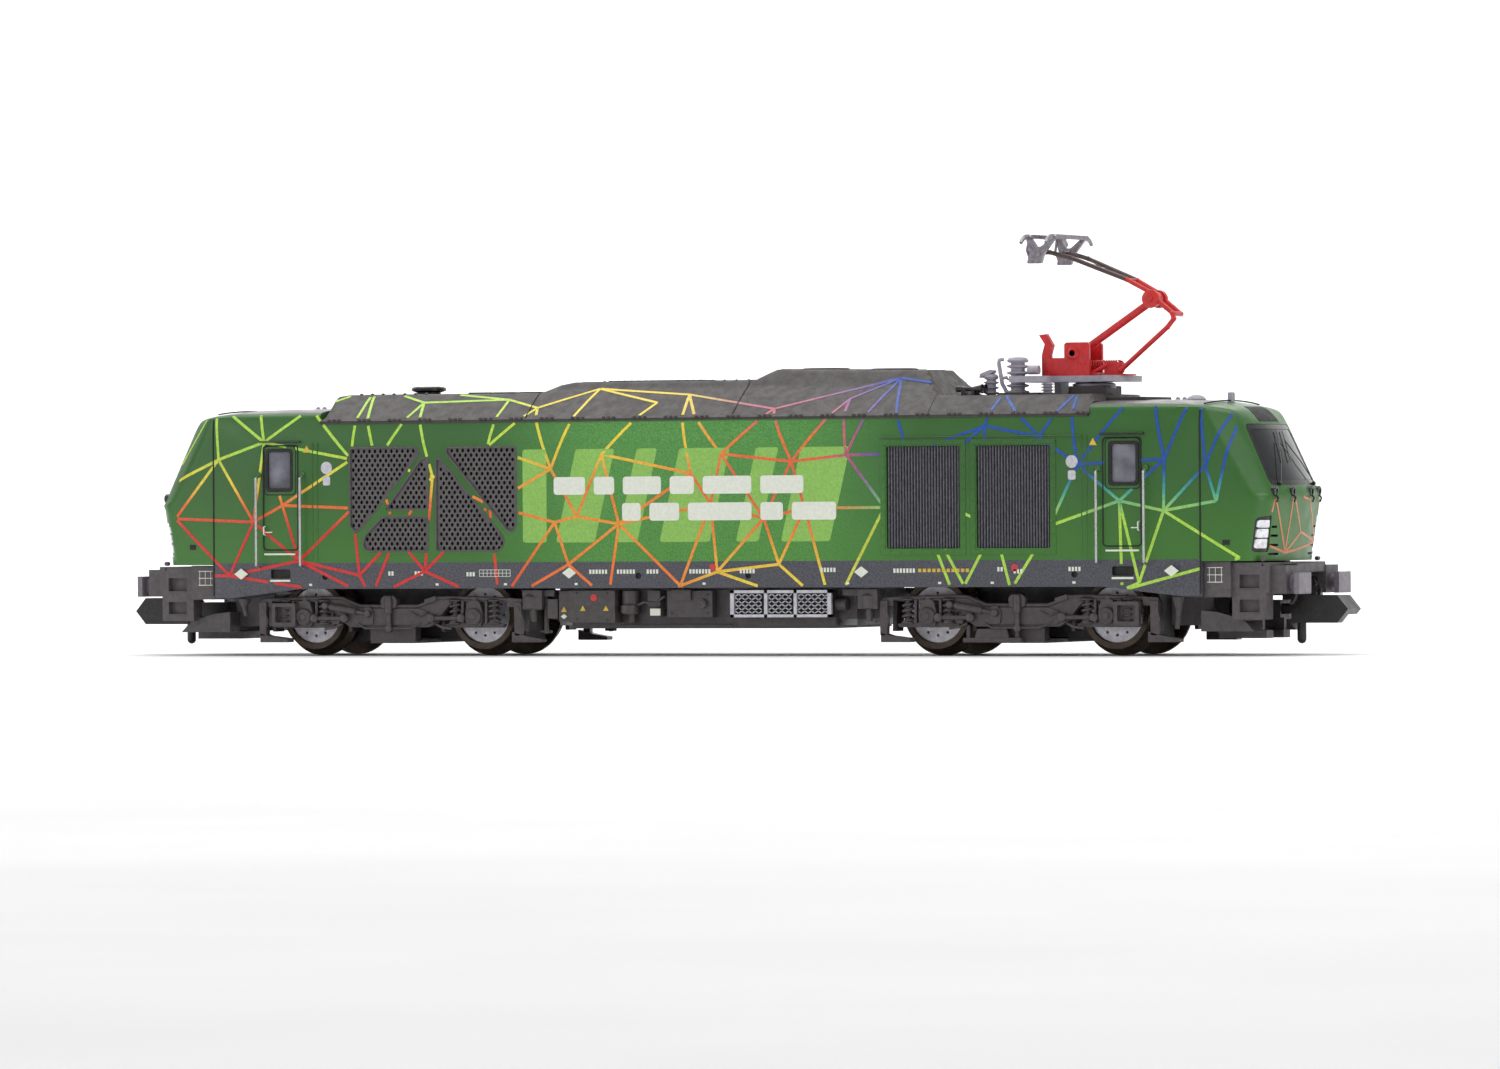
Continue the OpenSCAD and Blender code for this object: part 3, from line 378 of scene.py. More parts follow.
class Shape:
    """Collects closed solids, in millimetres, into one mesh with material indices."""

    def __init__(self):
        self.verts, self.faces, self.slots = [], [], []
        self.material = 0

    def add(self, verts, faces):
        start = len(self.verts)
        self.verts.extend(tuple(float(c) for c in v) for v in verts)
        self.faces.extend(tuple(start + i for i in f) for f in faces)
        self.slots.extend([self.material] * len(faces))
        return self

    def rings(self, rings, closed_loop=False, caps=True):
        """A skin over rings with the same number of points."""
        count, n = len(rings), len(rings[0])
        verts = [p for ring in rings for p in ring]
        last = count if closed_loop else count - 1
        faces = [(i * n + j, i * n + (j + 1) % n, ((i + 1) % count) * n + (j + 1) % n,
                  ((i + 1) % count) * n + j)
                 for i in range(last) for j in range(n)]
        if caps and not closed_loop:
            faces += [tuple(range(n))[::-1], tuple((count - 1) * n + j for j in range(n))]
        return self.add(verts, faces)

    def prism(self, outline, axis, low, high):
        """An outline extruded along an axis; its points are in the other two axes, in X, Y, Z order."""
        outline, at = list(outline), "XYZ".index(axis)
        area = sum(a[0] * b[1] - b[0] * a[1] for a, b in zip(outline, outline[1:] + outline[:1]))
        if (area > 0) == (axis == "Y"):
            outline.reverse()
        return self.rings([[(*p[:at], h, *p[at:]) for p in outline] for h in sorted((low, high))])

    def plate(self, outline, radius, axis, low, high, steps=5):
        """A prism with the corners of its outline rounded."""
        return self.prism(rounded(outline, radius, steps), axis, low, high)

    def box(self, a, b):
        """A box between two opposite corners."""
        low, high = np.minimum(a, b), np.maximum(a, b)
        return self.prism(rectangle(low[0], low[1], high[0], high[1]), "Z", low[2], high[2])

    def frame(self, outer, inner, low, high):
        """A closed frame between two outlines with as many points, extruded along Y."""
        return self.rings([[(a[0], low, a[1]), (a[0], high, a[1]), (b[0], high, b[1]), (b[0], low, b[1])]
                           for a, b in zip(outer, inner)], closed_loop=True)

    def tube(self, points, radius, sides=10, loop=False):
        """A round bar along points; radius is a number or one number per point."""
        points = [np.asarray(p, float) for p in points]
        radii = radius if np.iterable(radius) else [radius] * len(points)
        n = len(points)
        rings, side = [], None
        for i, p in enumerate(points):
            if loop:
                along = unit(points[(i + 1) % n] - points[i - 1])
            else:
                along = unit(points[min(i + 1, n - 1)] - points[max(i - 1, 0)])
            if side is None:
                side = np.cross(along, (0, 0, 1) if abs(along[2]) < 0.9 else (1, 0, 0))
            side = unit(side - along * np.dot(side, along))
            up = np.cross(along, side)
            rings.append([p + radii[i] * (math.cos(a) * side + math.sin(a) * up)
                          for a in turn(sides)])
        return self.rings(rings, closed_loop=loop)

    def lathe(self, profile, origin, axis, sides=32):
        """A profile of (radius, height) turned about an axis through origin."""
        axis = unit(axis)
        side = unit(np.cross(axis, (0, 0, 1) if abs(axis[2]) < 0.9 else (1, 0, 0)))
        up = np.cross(axis, side)
        rings = [[np.asarray(origin) + h * axis + max(r, 1e-4) * (math.cos(a) * side + math.sin(a) * up)
                  for a in turn(sides)] for r, h in profile]
        return self.rings(rings)

    def dome(self, at, direction, radius, height=None, sides=8):
        height = height or radius
        profile = [(radius, -0.3 * radius)] + [(radius * math.cos(t), height * math.sin(t))
                                               for t in np.linspace(0, math.pi / 2 * 0.98, 4)]
        return self.lathe(profile, at, direction, sides)

    def mirrored(self, axis):
        """The same shape and its mirror image in the plane through the origin across an axis."""
        sign = np.ones(3)
        sign["XYZ".index(axis)] = -1
        start = len(self.verts)
        self.verts += [tuple(np.array(v) * sign) for v in self.verts]
        self.faces += [tuple(start + i for i in f[::-1]) for f in self.faces]
        self.slots += self.slots
        return self

    def moved(self, offset):
        self.verts = [tuple(np.array(v) + offset) for v in self.verts]
        return self

    def object(self, name, materials):
        mesh = bpy.data.meshes.new(name)
        mesh.from_pydata([tuple(c * MM for c in v) for v in self.verts], [], self.faces)
        for m in materials:
            mesh.materials.append(MATERIALS[m])
        mesh.polygons.foreach_set("material_index", self.slots)
        made = bpy.data.objects.new(name, mesh)
        bpy.context.scene.collection.objects.link(made)
        tidy_normals(made)
        return made


def tidy_normals(obj):
    work = bmesh.new()
    work.from_mesh(obj.data)
    bmesh.ops.recalc_face_normals(work, faces=work.faces)
    work.to_mesh(obj.data)
    work.free()


def shade(obj, angle=32):
    obj.data.shade_smooth()
    obj.data.set_sharp_from_angle(angle=math.radians(angle))


def bevel(obj, width, segments=2, angle=40):
    mod = obj.modifiers.new("edges", "BEVEL")
    mod.width = width * MM
    mod.segments = segments
    mod.limit_method = "ANGLE"
    mod.angle_limit = math.radians(angle)
    mod.harden_normals = False
    return obj


def combine(target, tool, operation="DIFFERENCE"):
    """A boolean, applied at once; the tool is used up."""
    mod = target.modifiers.new("combine", "BOOLEAN")
    mod.operation = operation
    mod.solver = "MANIFOLD"
    mod.object = tool
    graph = bpy.context.evaluated_depsgraph_get()
    result = bpy.data.meshes.new_from_object(target.evaluated_get(graph))
    target.modifiers.remove(mod)
    target.data = result
    bpy.data.objects.remove(tool)
    return target


def settle(obj, body, replaces=(), edge=None, angle=32):
    """Shades a finished piece and body, and hides the nodes that it stands for."""
    shade(obj, angle)
    if edge:
        bevel(obj, edge)
    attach(obj, body)
    if replaces:
        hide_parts(*replaces)
    return obj


def finish(shape, name, ink, replaces=(), edge=None, angle=32, body="body"):
    """Makes a piece of one ink from a shape, on the locomotive's body unless another is named."""
    return settle(shape.object(name, [ink]), body, replaces, edge, angle)


# ---------------------------------------------------------------- form of the painted body

def edge_plane(p, q, axes):
    """Half space under the edge from p to q of an outline, as a normal and a distance."""
    normal = unit((q[1] - p[1], p[0] - q[0]))
    full = np.zeros(3)
    full[list(axes)] = normal
    return full, float(np.dot(normal, p))


def edge_planes(outline, axes):
    return [edge_plane(p, q, axes) for p, q in zip(outline, outline[1:])]


BODY_PLANES = edge_planes([(half_w, 5), (half_w, 21.25), (8.45, 24.2), (7.7, 24.6)], (1, 2))
BODY_PLANES += edge_planes([(62, 7.9), (57, 8.35), (52.9, 8.95), (51, half_w)], (0, 1))
NOSE_PLANES = edge_planes([(57.05, 22.4), (55.6, 23.85), (53.6, 24.4), (51, 24.65)], (0, 2))
CHIN_TILT, BROW_TILT = math.radians(8.75), math.radians(25.9)
CROWN_Z, LOWER_Z = 24.72, 5.65
ROOF_BEND, NOSE_BEND, CORNER_BEND = 0.006, 0.016, 0.35     # fall or sweep per square of the width
CHEEK_BROW, CHEEK_SIDE, CHEEK_AT, CHEEK_FADE = 0.716, 0.698, 4.037, 0.5


def body_form(p, inset=0.0, soft=0.13):
    """Below zero inside the body; edges are rounded by the soft maximum."""
    x, y, z = abs(p[..., 0]), abs(p[..., 1]), p[..., 2]
    flat = [n[0] * x + n[1] * y + n[2] * z - d for n, d in BODY_PLANES]
    flat += [n[0] * x + n[2] * z - d + ROOF_BEND * y ** 2 for n, d in NOSE_PLANES]
    flat += [z - CROWN_Z + ROOF_BEND * y ** 2, LOWER_Z - z]
    ahead, above = x - knee_x, z - knee_z
    bend = NOSE_BEND * y ** 2
    flat.append(math.cos(CHIN_TILT) * ahead - math.sin(CHIN_TILT) * above + bend
                + CORNER_BEND * np.maximum(0, y - 6.5) ** 2)
    brow = math.cos(BROW_TILT) * ahead + math.sin(BROW_TILT) * above
    flat.append(brow + bend)
    flat.append(CHEEK_BROW * brow + CHEEK_SIDE * y - CHEEK_AT - CHEEK_FADE * np.maximum(0, -above))
    flat = np.array(flat) + inset
    top = flat.max(axis=0)
    return top + soft * np.log(np.exp((flat - top) / soft).sum(axis=0))


def cast(starts, directions, form, reach=40.0):
    """Where rays from inside leave the form."""
    low, high = np.zeros(len(starts)), np.full(len(starts), reach)
    for _ in range(34):
        middle = (low + high) / 2
        inside = form(starts + directions * middle[:, None]) < 0
        low, high = np.where(inside, middle, low), np.where(inside, high, middle)
    return starts + directions * low[:, None]


def body_surface(name, inset, around, rings, stations, material):
    """Closed skin of the body form, from rays that leave a line along its middle."""
    hub_x, hub_z = 50.0, 14.5
    angles = turn(around)
    tips = np.linspace(0, math.pi / 2, rings + 1)[1:]
    line = [(-hub_x, -math.cos(t), math.sin(t)) for t in tips]
    line += [(x, 0, 1) for x in np.linspace(-hub_x, hub_x, stations)[1:-1]]
    line += [(hub_x, math.cos(t), math.sin(t)) for t in tips[::-1]]
    starts = np.array([[x, 0, hub_z] for x, _, _ in line for _ in angles])
    rays = np.array([[c, s * math.cos(a), s * math.sin(a)] for _, c, s in line for a in angles])
    skin = cast(starts, rays, lambda p: body_form(p, inset))
    poles = cast(np.array([[-hub_x, 0, hub_z], [hub_x, 0, hub_z]]), np.array([[-1.0, 0, 0], [1.0, 0, 0]]),
                 lambda p: body_form(p, inset))
    shape = Shape()
    shape.rings(skin.reshape(len(line), around, 3), caps=False)
    n = len(skin)
    shape.verts += [tuple(p) for p in poles]
    fans = [(n, (j + 1) % around, j) for j in range(around)]
    fans += [(n + 1, n - around + j, n - around + (j + 1) % around) for j in range(around)]
    shape.faces += fans
    shape.slots += [0] * len(fans)
    return shape.object(name, [material])


class Relief:
    """Where the body form lies over a grid of places, looked up by bilinear interpolation."""

    def __init__(self, origin, along, u_range, v_range, step, reach):
        """Rays start at origin(u, v) and go along a direction."""
        self.u0, self.v0, self.step = u_range[0], v_range[0], step
        us, vs = np.arange(*u_range, step), np.arange(*v_range, step)
        grid = np.array([origin(u, v) for u in us for v in vs], float)
        hits = cast(grid, np.tile(np.array(along, float), (len(grid), 1)), body_form, reach)
        self.table = (hits @ np.array(along, float)).reshape(len(us), len(vs))

    def __call__(self, u, v):
        a, b = (u - self.u0) / self.step, (v - self.v0) / self.step
        i = min(max(int(a), 0), self.table.shape[0] - 2)
        j = min(max(int(b), 0), self.table.shape[1] - 2)
        a, b, t = min(max(a - i, 0), 1), min(max(b - j, 0), 1), self.table
        near, far = (t[k, j] * (1 - b) + t[k, j + 1] * b for k in (i, i + 1))
        return float(near * (1 - a) + far * a)


side_relief = Relief(lambda u, v: (u, 0, v), (0, 1, 0), (0, 59), (5.8, 24.6), 0.2, 12.0)
nose_relief = Relief(lambda u, v: (50, u, v), (1, 0, 0), (0, 8.6), (5.8, 24.4), 0.2, 14.0)


def side_y(x, z):
    """Half width of the painted side at a place in the side view."""
    return side_relief(abs(x), z)


def nose_x(y, z):
    """How far forward the nose is at a place in the end view."""
    return nose_relief(abs(y), z)


# Outlines of the mesh grille fields, radiators and doors in the side view, and of the windscreen and
# the near lamps in the end view
GRILLE_FIELDS = [
    [(-37.5, 12.8), (-36.8, 12.2), (-36.1, 12.6), (-29.6, 20.15), (-30.1, 20.8), (-37.5, 20.8)],
    [(-36.15, 11.0), (-35.6, 10.35), (-28.7, 10.35), (-28.7, 13.9), (-33.9, 13.9), (-35.85, 12.0)],
    [(-33.6, 14.5), (-28.7, 14.5), (-28.7, 19.65), (-29.1, 19.75), (-29.6, 19.6)],
    [(-28.0, 10.35), (-20.9, 10.35), (-20.4, 11.05), (-20.45, 11.85), (-27.5, 19.7), (-28.0, 19.6)],
    [(-26.9, 20.15), (-20.2, 12.4), (-19.6, 12.2), (-19.05, 12.75), (-19.05, 20.75), (-26.8, 20.75)],
]
RADIATORS = [(20.6, 28.3), (30.05, 37.7)]
RADIATOR_Z = (10.45, 20.35)
DOOR = (43.2, 10.6, 47.1, 21.0)
DOOR_GLASS = (43.75, 16.4, 46.9, 20.7)
SCREEN = [(-6.2, 16.35), (6.2, 16.35), (5.85, 22.25), (-5.85, 22.25)]
LAMP = [(5.9, 9.95), (7.8, 9.95), (7.8, 13.25), (6.2, 13.5)]
SCREEN_X, LAMP_X = 54.2, 56.6           # how far from the middle their openings start


def shrunk(outline, d):
    """A convex outline, anticlockwise, moved inwards by d."""
    out = []
    pts = [np.asarray(p, float) for p in outline]
    for a, b, c in zip(pts[-1:] + pts[:-1], pts, pts[1:] + pts[:1]):
        n1, n2 = (np.array([-(v[1]), v[0]]) / np.linalg.norm(v) for v in (b - a, c - b))
        out.append(b + d * (n1 + n2) / (1 + np.dot(n1, n2)))
    return out


def mirror_image(outline):
    return [(-x, z) for x, z in outline]


def both_sides(outline):
    """An outline and its mirror image across the upright axis."""
    return outline, mirror_image(outline)


def at_both_ends(shape, outline, start):
    """Prisms from both noses into the body, as far as a distance from its middle."""
    for sign in (-1, 1):
        shape.prism(outline, "X", sign * start, sign * FAR)


def opening_tools():
    """Everything that is cut right through the body wall."""
    tool = Shape()
    at_both_ends(tool, rounded(SCREEN, 0.6), SCREEN_X)
    for lamp in both_sides(LAMP):
        at_both_ends(tool, rounded(lamp, 0.3), LAMP_X)
    radiators = [rectangle(x0, RADIATOR_Z[0], x1, RADIATOR_Z[1]) for x0, x1 in RADIATORS]
    for outlines, radius in ((both_sides(rectangle(*DOOR_GLASS)), 0.45), (GRILLE_FIELDS, 0.45),
                             (radiators, 0.2)):
        for outline in outlines:
            tool.plate(outline, radius, "Y", -WIDE, WIDE)
    return tool.object("openings", ["body_paint"])


def trimming_tools():
    """The lowered roof under the hoods, and the lower edge of the body."""
    tool = Shape()
    tool.box((-41.05, -WIDE, seat_z), (41.6, WIDE, 30))
    half = [(43, 6.7), (52, LOWER_Z), (53.05, LOWER_Z), (53.05, 9.1), (70, 9.1), (70, 0)]
    tool.prism(mirror_image(half[::-1]) + half, "Y", -WIDE, WIDE)
    return tool.object("trims", ["body_paint"])


def surface_path(points):
    """Points of the side view laid on the near painted side."""
    return [(x, -side_y(x, z), z) for x, z in points]


def smooth_path(points, step=0.5):
    """A polyline cut into short pieces."""
    out = []
    for p, q in zip(points, points[1:]):
        p, q = np.asarray(p, float), np.asarray(q, float)
        n = max(1, int(np.linalg.norm(q - p) / step))
        out += [p + (q - p) * i / n for i in range(n)]
    return out + [np.asarray(points[-1], float)]


def build_grooves():
    """Dark lines sunk half way into the skin: door edges and the joint behind each cab moulding."""
    lines, groove_x = Shape(), joint_x - 0.05
    for sign in (-1, 1):
        for outline, corner, radius in ((DOOR, 0.4, 0.08), ((43.45, 16.1, 47.0, 20.95), 0.5, 0.05)):
            edge = rounded([(sign * x, z) for x, z in rectangle(*outline)], corner)
            lines.tube(surface_path(edge), radius, 6, loop=True)
        lines.tube(surface_path([(sign * groove_x, z) for z in np.linspace(6.0, 23.6, 50)]), 0.09, 6)
    lines.mirrored("Y")
    for sign in (-1, 1):
        across = [(sign * groove_x, y, 24.55 - 0.0063 * y ** 2) for y in np.linspace(-7.4, 7.4, 24)]
        lines.tube(across, 0.08, 6)
    finish(lines, "panel_gaps", "groove", angle=60)


def recess_tools():
    """Pockets: foot steps under the doors, small sockets in the skirt and slots beside the lamps."""
    tool = Shape()
    for sign, side in product((-1, 1), repeat=2):
        tool.plate(rectangle(sign * 44.1, 7.75, sign * 46.3, 8.65), 0.2, "Y", side * 8.95, side * WIDE)
        for x in (5.9, -40.2, 49.0):
            tool.prism(oval(sign * x, 7.9, 0.32, 0.32, 16), "Y", side * 9.12, side * WIDE)
        for z, inner in ((9.75, 4.0), (10.6, 4.3), (11.5, 4.6), (12.35, 5.0)):
            vent = rectangle(side * inner, z - 0.11, side * 5.95, z + 0.11)
            tool.prism(vent, "X", sign * 58.75, sign * FAR)
    # The faces these tools cut take the near-black groove colour: painted shade in the pockets.
    return tool.object("shaded_recesses", ["groove"])


def build_body():
    """The painted shell, hollow, with its openings and pockets cut."""
    shell = body_surface("body_skin", 0.0, 240, 90, 52, "body_paint")
    shell.data.materials.append(MATERIALS["groove"])
    combine(shell, body_surface("hollow", shell_t, 64, 20, 16, "body_paint"))
    combine(shell, trimming_tools())
    combine(shell, opening_tools())
    # The pockets' walls and floors come out near black, painted shade.
    combine(shell, recess_tools())
    return settle(shell, "body", ["body_shell"], angle=28)


def skin_piece(name, outside, depth, tools, material, replaces=()):
    """A piece of the body's skin inside the outlines of tools."""
    piece = body_surface(name, -outside, 160, 60, 4, material)
    combine(piece, body_surface("under", depth, 160, 60, 4, material))
    combine(piece, tools.object("tool", [material]), "INTERSECT")
    return settle(piece, "body", replaces, angle=30)


def build_windscreens():
    """Black surrounds with a pane in each, and the dark top lamp strips above."""
    whole, hole, glass, lamp = Shape(), Shape(), Shape(), Shape()
    at_both_ends(whole, rounded(SCREEN, 0.6), SCREEN_X)
    surround = skin_piece("windscreen_surround", -0.04, 0.45, whole, "black_trim")
    at_both_ends(hole, rounded(shrunk(SCREEN, 0.5), 0.45), 50)
    combine(surround, hole.object("hole", ["black_trim"]))
    shade(surround, 30)
    at_both_ends(glass, rounded(shrunk(SCREEN, 0.52), 0.45), SCREEN_X)
    skin_piece("windscreen_glass", -0.08, 0.35, glass, "windscreen_clear",
               ["windscreens"])
    at_both_ends(lamp, rounded([(-2.7, 22.5), (2.7, 22.5), (2.5, 23.95), (-2.5, 23.95)], 0.25), 52)
    skin_piece("top_lamp_glass", 0.03, 0.1, lamp, "groove")


def build_headlamps():
    """A black bezel at each corner of each nose with three lamps above one another."""
    bezels, lenses = Shape(), Shape()
    for bezel in both_sides(shrunk(LAMP, 0.03)):
        at_both_ends(bezels, rounded(bezel, 0.28), LAMP_X)
    skin_piece("headlamp_bezels", -0.12, 0.6, bezels, "black_trim", ["headlamps"])
    for low, high in ((10.3, 11.2), (11.32, 12.16), (12.28, 13.0)):
        for cell in both_sides([(6.3, low), (7.6, low), (7.6, high), (6.4, high)]):
            at_both_ends(lenses, rounded(cell, 0.18), LAMP_X)
    skin_piece("headlamp_lenses", -0.02, 0.5, lenses, "lamp_clear")


def build_door_windows():
    """Panes and black rims in the cab doors."""
    panes, rims = Shape(), Shape()
    opening = rectangle(*DOOR_GLASS)
    for glass, hole in zip(both_sides(shrunk(opening, 0.04)), both_sides(shrunk(opening, 0.34))):
        panes.plate(glass, 0.42, "Y", -half_w + 0.28, -half_w + 0.7)
        rims.frame(rounded(glass, 0.42, 6), rounded(hole, 0.3, 6), -half_w + 0.04, -half_w + 0.3)
    finish(panes.mirrored("Y"), "door_glass", "window_clear", ["door_windows"])
    finish(rims.mirrored("Y"), "door_glass_rims", "black_trim", angle=40)


def inside_outline(p, outline):
    """True if a point is inside a closed outline."""
    hit = False
    for a, b in zip(outline, list(outline[1:]) + [outline[0]]):
        if (a[1] > p[1]) != (b[1] > p[1]) and p[0] < (b[0] - a[0]) * (p[1] - a[1]) / (b[1] - a[1]) + a[0]:
            hit = not hit
    return hit


def build_mesh_grilles():
    """Perforated plates in the five openings of each side."""
    pitch_x, pitch_z, face_y = 0.605, 0.46, half_w - 0.14
    plate, holes, rims = Shape(), Shape(), Shape()
    for field in GRILLE_FIELDS:
        plate.plate(shrunk(field, 0.03), 0.42, "Y", -face_y, -face_y + 0.55)
        limit = shrunk(field, 0.3)
        low, high = np.min(field, axis=0), np.max(field, axis=0)
        for row in range(int((high[1] - low[1]) / pitch_z) + 1):
            z = 10.7 + pitch_z * (row + round((low[1] - 10.7) / pitch_z))
            shift = pitch_x / 2 * (round((z - 10.7) / pitch_z) % 2)
            for column in range(-2, int((high[0] - low[0]) / pitch_x) + 2):
                x = -38 + shift + pitch_x * (column + round((low[0] + 38) / pitch_x))
                if inside_outline((x, z), limit):
                    holes.prism(oval(x, z, 0.15, 0.2, 8), "Y", -face_y - 0.2, -face_y + 0.3)
        edge = [(p[0], -half_w + 0.03, p[1]) for p in rounded(shrunk(field, 0.08), 0.42, 6)]
        rims.tube(edge, 0.1, 8, loop=True)
    plate.mirrored("Y")
    holes.mirrored("Y")
    body = plate.object("mesh_grille_plates", ["mesh_plastic", "hole_shade"])
    # The pits stop short of the back of the plate; their walls and floors take the near-black hole colour, painted
    # shade.
    combine(body, holes.object("holes", ["hole_shade"]))
    settle(body, "body", ["mesh_grilles"])
    finish(rims.mirrored("Y"), "mesh_grille_rims", "mesh_plastic")


def build_radiators():
    """Upright slats, and the riveted green frames round them."""
    slats, frames, rivets = Shape(), Shape(), Shape()
    z0, z1 = RADIATOR_Z
    for x0, x1 in RADIATORS:
        pitch = (x1 - x0 - 0.1) / 25
        outline = [(x0 + 0.05, -half_w + 0.75)]
        for i in range(25):
            left = x0 + 0.05 + i * pitch
            outline += [(left + 0.02, -half_w + 0.42), (left + 0.1 * pitch, -half_w + 0.4),
                        (left + 0.32 * pitch, -half_w + 0.12), (left + 0.62 * pitch, -half_w + 0.12),
                        (left + 0.9 * pitch, -half_w + 0.4)]
        outline += [(x1 - 0.05, -half_w + 0.42), (x1 - 0.05, -half_w + 0.75)]
        slats.prism(outline, "Z", z0 + 0.04, z1 - 0.04)
        for a, b in ((x0 - 0.62, x0 - 0.12), (x1 + 0.12, x1 + 0.62)):
            frames.box((a, -half_w - 0.07, z0 - 0.5), (b, -half_w + 0.1, z1 + 0.5))
        for a, b in ((z0 - 0.62, z0 - 0.14), (z1 + 0.14, z1 + 0.62)):
            frames.box((x0 - 0.62, -half_w - 0.06, a), (x1 + 0.62, -half_w + 0.1, b))
        for z in np.arange(z0, z1, 1.1):
            for x in (x0 - 0.37, x1 + 0.37):
                rivets.dome((x, -half_w - 0.07, z + 0.2), NEAR, 0.13, 0.08)
        for x in np.arange(x0 + 0.4, x1, 1.1):
            for z in (z0 - 0.38, z1 + 0.38):
                rivets.dome((x, -half_w - 0.06, z), NEAR, 0.12, 0.07)
    finish(slats.mirrored("Y"), "radiator_slats", "radiator_plastic",
           ["radiator_grilles"], angle=20)
    finish(frames.mirrored("Y"), "radiator_frames", "body_paint", edge=0.03)
    finish(rivets.mirrored("Y"), "radiator_rivets", "body_paint")


def build_body_trim():
    """Raised lines, drip rails, door handles, sockets and step edges on the body."""
    lines, dark, bright = Shape(), Shape(), Shape()
    near, cover_x, cover_z = -half_w, 55.45, 10.9
    drip = [(near - 0.16, 21.32), (near + 0.3, 21.32), (near + 0.3, 21.52), (near - 0.12, 21.46)]
    for sign in (-1, 1):
        for x in (41.0, 41.55):
            lines.tube([(sign * x, near + 0.02, z) for z in np.linspace(9.5, 21.2, 12)], 0.07, 6)
        dark.prism(drip, "X", sign * 42.9, sign * 47.4)
        bright.box((sign * 43.5, near - 0.2, 10.08), (sign * 46.9, near + 0.1, 10.26))
        bright.box((sign * 44.1, near - 0.14, 7.42), (sign * 46.3, near + 0.1, 7.62))
        handle = [(sign * 46.9, near + 0.05, 12.1), (sign * 46.9, near - 0.28, 12.15),
                  (sign * 46.9, near - 0.3, 12.9), (sign * 46.9, near + 0.05, 12.95)]
        bright.tube(handle, 0.08, 8)
        bright.box((sign * 46.1, near - 0.1, 12.3), (sign * 46.85, near + 0.1, 12.42))
        for x in (42.7, 47.6):
            lines.lathe([(0.3, 0), (0.3, 0.1), (0.2, 0.22), (0, 0.24)], (sign * x, near, 18.1), NEAR, 16)
        x, y = sign * cover_x, -side_y(cover_x, cover_z)
        dark.box((x - 0.36, y - 0.06, cover_z - 0.25), (x + 0.36, y + 0.3, cover_z + 0.25))
    lines.tube([(x, near + 0.03, 21.27) for x in np.linspace(19.8, 41.0, 8)], 0.06, 6)
    lines.tube([(x, near + 0.03, 9.98) for x in np.linspace(-36, -20, 8)], 0.06, 6)
    finish(lines.mirrored("Y"), "body_lines", "body_paint")
    finish(dark.mirrored("Y"), "drip_rails", "black_trim", edge=0.03)
    finish(bright.mirrored("Y"), "door_handles", "white_print", edge=0.03)


def build_nose_details():
    """Sockets with short cables under the windscreen, and the wipers."""
    sockets, wipers = Shape(), Shape()
    socket_z = 15.75
    for y in (-5.9, -2.5, 2.5, 5.9):
        x = nose_x(y, socket_z)
        sockets.lathe([(0.52, -0.4), (0.52, 0.1), (0.44, 0.2), (0.3, 0.2), (0.26, 0.02), (0, 0.0)],
                      (x, y, socket_z), (1, 0, -0.1), 24)
        sockets.tube([(x + 0.05, y, 15.5), (x + 0.34, y, 15.1), (x + 0.2, y, 14.7)], 0.1, 8)
    for y0, y1 in ((-4.6, -0.9), (4.6, 0.9)):
        foot = np.array([nose_x(y0, 16.5) + 0.1, y0, 16.5])
        tip = np.array([nose_x(y1, 20.6) + 0.12, y1, 20.6])
        wipers.lathe([(0.2, -0.1), (0.2, 0.12), (0.12, 0.2), (0, 0.22)], foot, (1, 0, 0.4), 12)
        wipers.tube([foot + (0.12, 0, 0), (foot + tip) / 2 + (0.25, 0, 0), tip + (0.1, 0, 0)], 0.05, 8)
        blade = [np.array([nose_x(y, z) + 0.1, y, z]) for y, z in
                 zip(np.linspace(y1 - 0.9, y1 + 0.9, 7), np.linspace(18.6, 21.6, 7))]
        wipers.tube(blade, 0.05, 6)
    for piece, name in ((sockets, "nose_sockets"), (wipers, "wipers")):
        finish(piece.mirrored("X"), name, "black_trim")


# ---------------------------------------------------------------- roof

# The hoods' tops in the side view, and their arch across from the middle outwards
HOOD_LINE = [(-41, 23.15), (-40.9, 23.6), (-40.5, 25.9), (-39.5, 26.05), (-18.4, 26.0), (-16.5, 26.8),
             (-15.1, 27.05), (4.4, 27.05), (6.35, 28.1), (22.5, 27.85), (24.65, 25.3)]
DECK_LINE = [(24.7, 25.3), (40.9, 25.3), (41.45, 24.6)]
ARCH = [(0, 28.35), (2.8, 28.2), (3.3, 27.9), (4.6, 26.4), (6.3, 25.3), (8.75, 23.4)]
HOOD_HALF = ARCH[-1][0]


def roof_z(x, y, line=HOOD_LINE):
    """Height of a hood at a place in the plan; the lower of line and arch, with a soft edge."""
    along = np.interp(x, *zip(*line))
    arch = np.interp(abs(y), *zip(*ARCH))
    soft = 0.09
    return -soft * np.logaddexp(-along / soft, -arch / soft)


def roof_skin(name, line, paint, node):
    """Closed skin of a hood between the ends of its line."""
    stops = [p[0] for p in line]
    xs = sorted(set(np.round(np.concatenate([np.arange(stops[0], stops[-1], 0.6), stops]), 3)))
    flat_half = 2.4
    ys = np.concatenate([-np.linspace(HOOD_HALF, flat_half, 34),
                         np.linspace(-flat_half, flat_half, 9)[1:-1],
                         np.linspace(flat_half, HOOD_HALF, 34)])
    rings = []
    for x in xs:
        top = [(x, y, max(roof_z(x, y, line), seat_z + 0.02)) for y in ys]
        rings.append([(x, -HOOD_HALF, seat_z)] + top + [(x, HOOD_HALF, seat_z)])
    finish(Shape().rings(rings), name, paint, [node], angle=24)


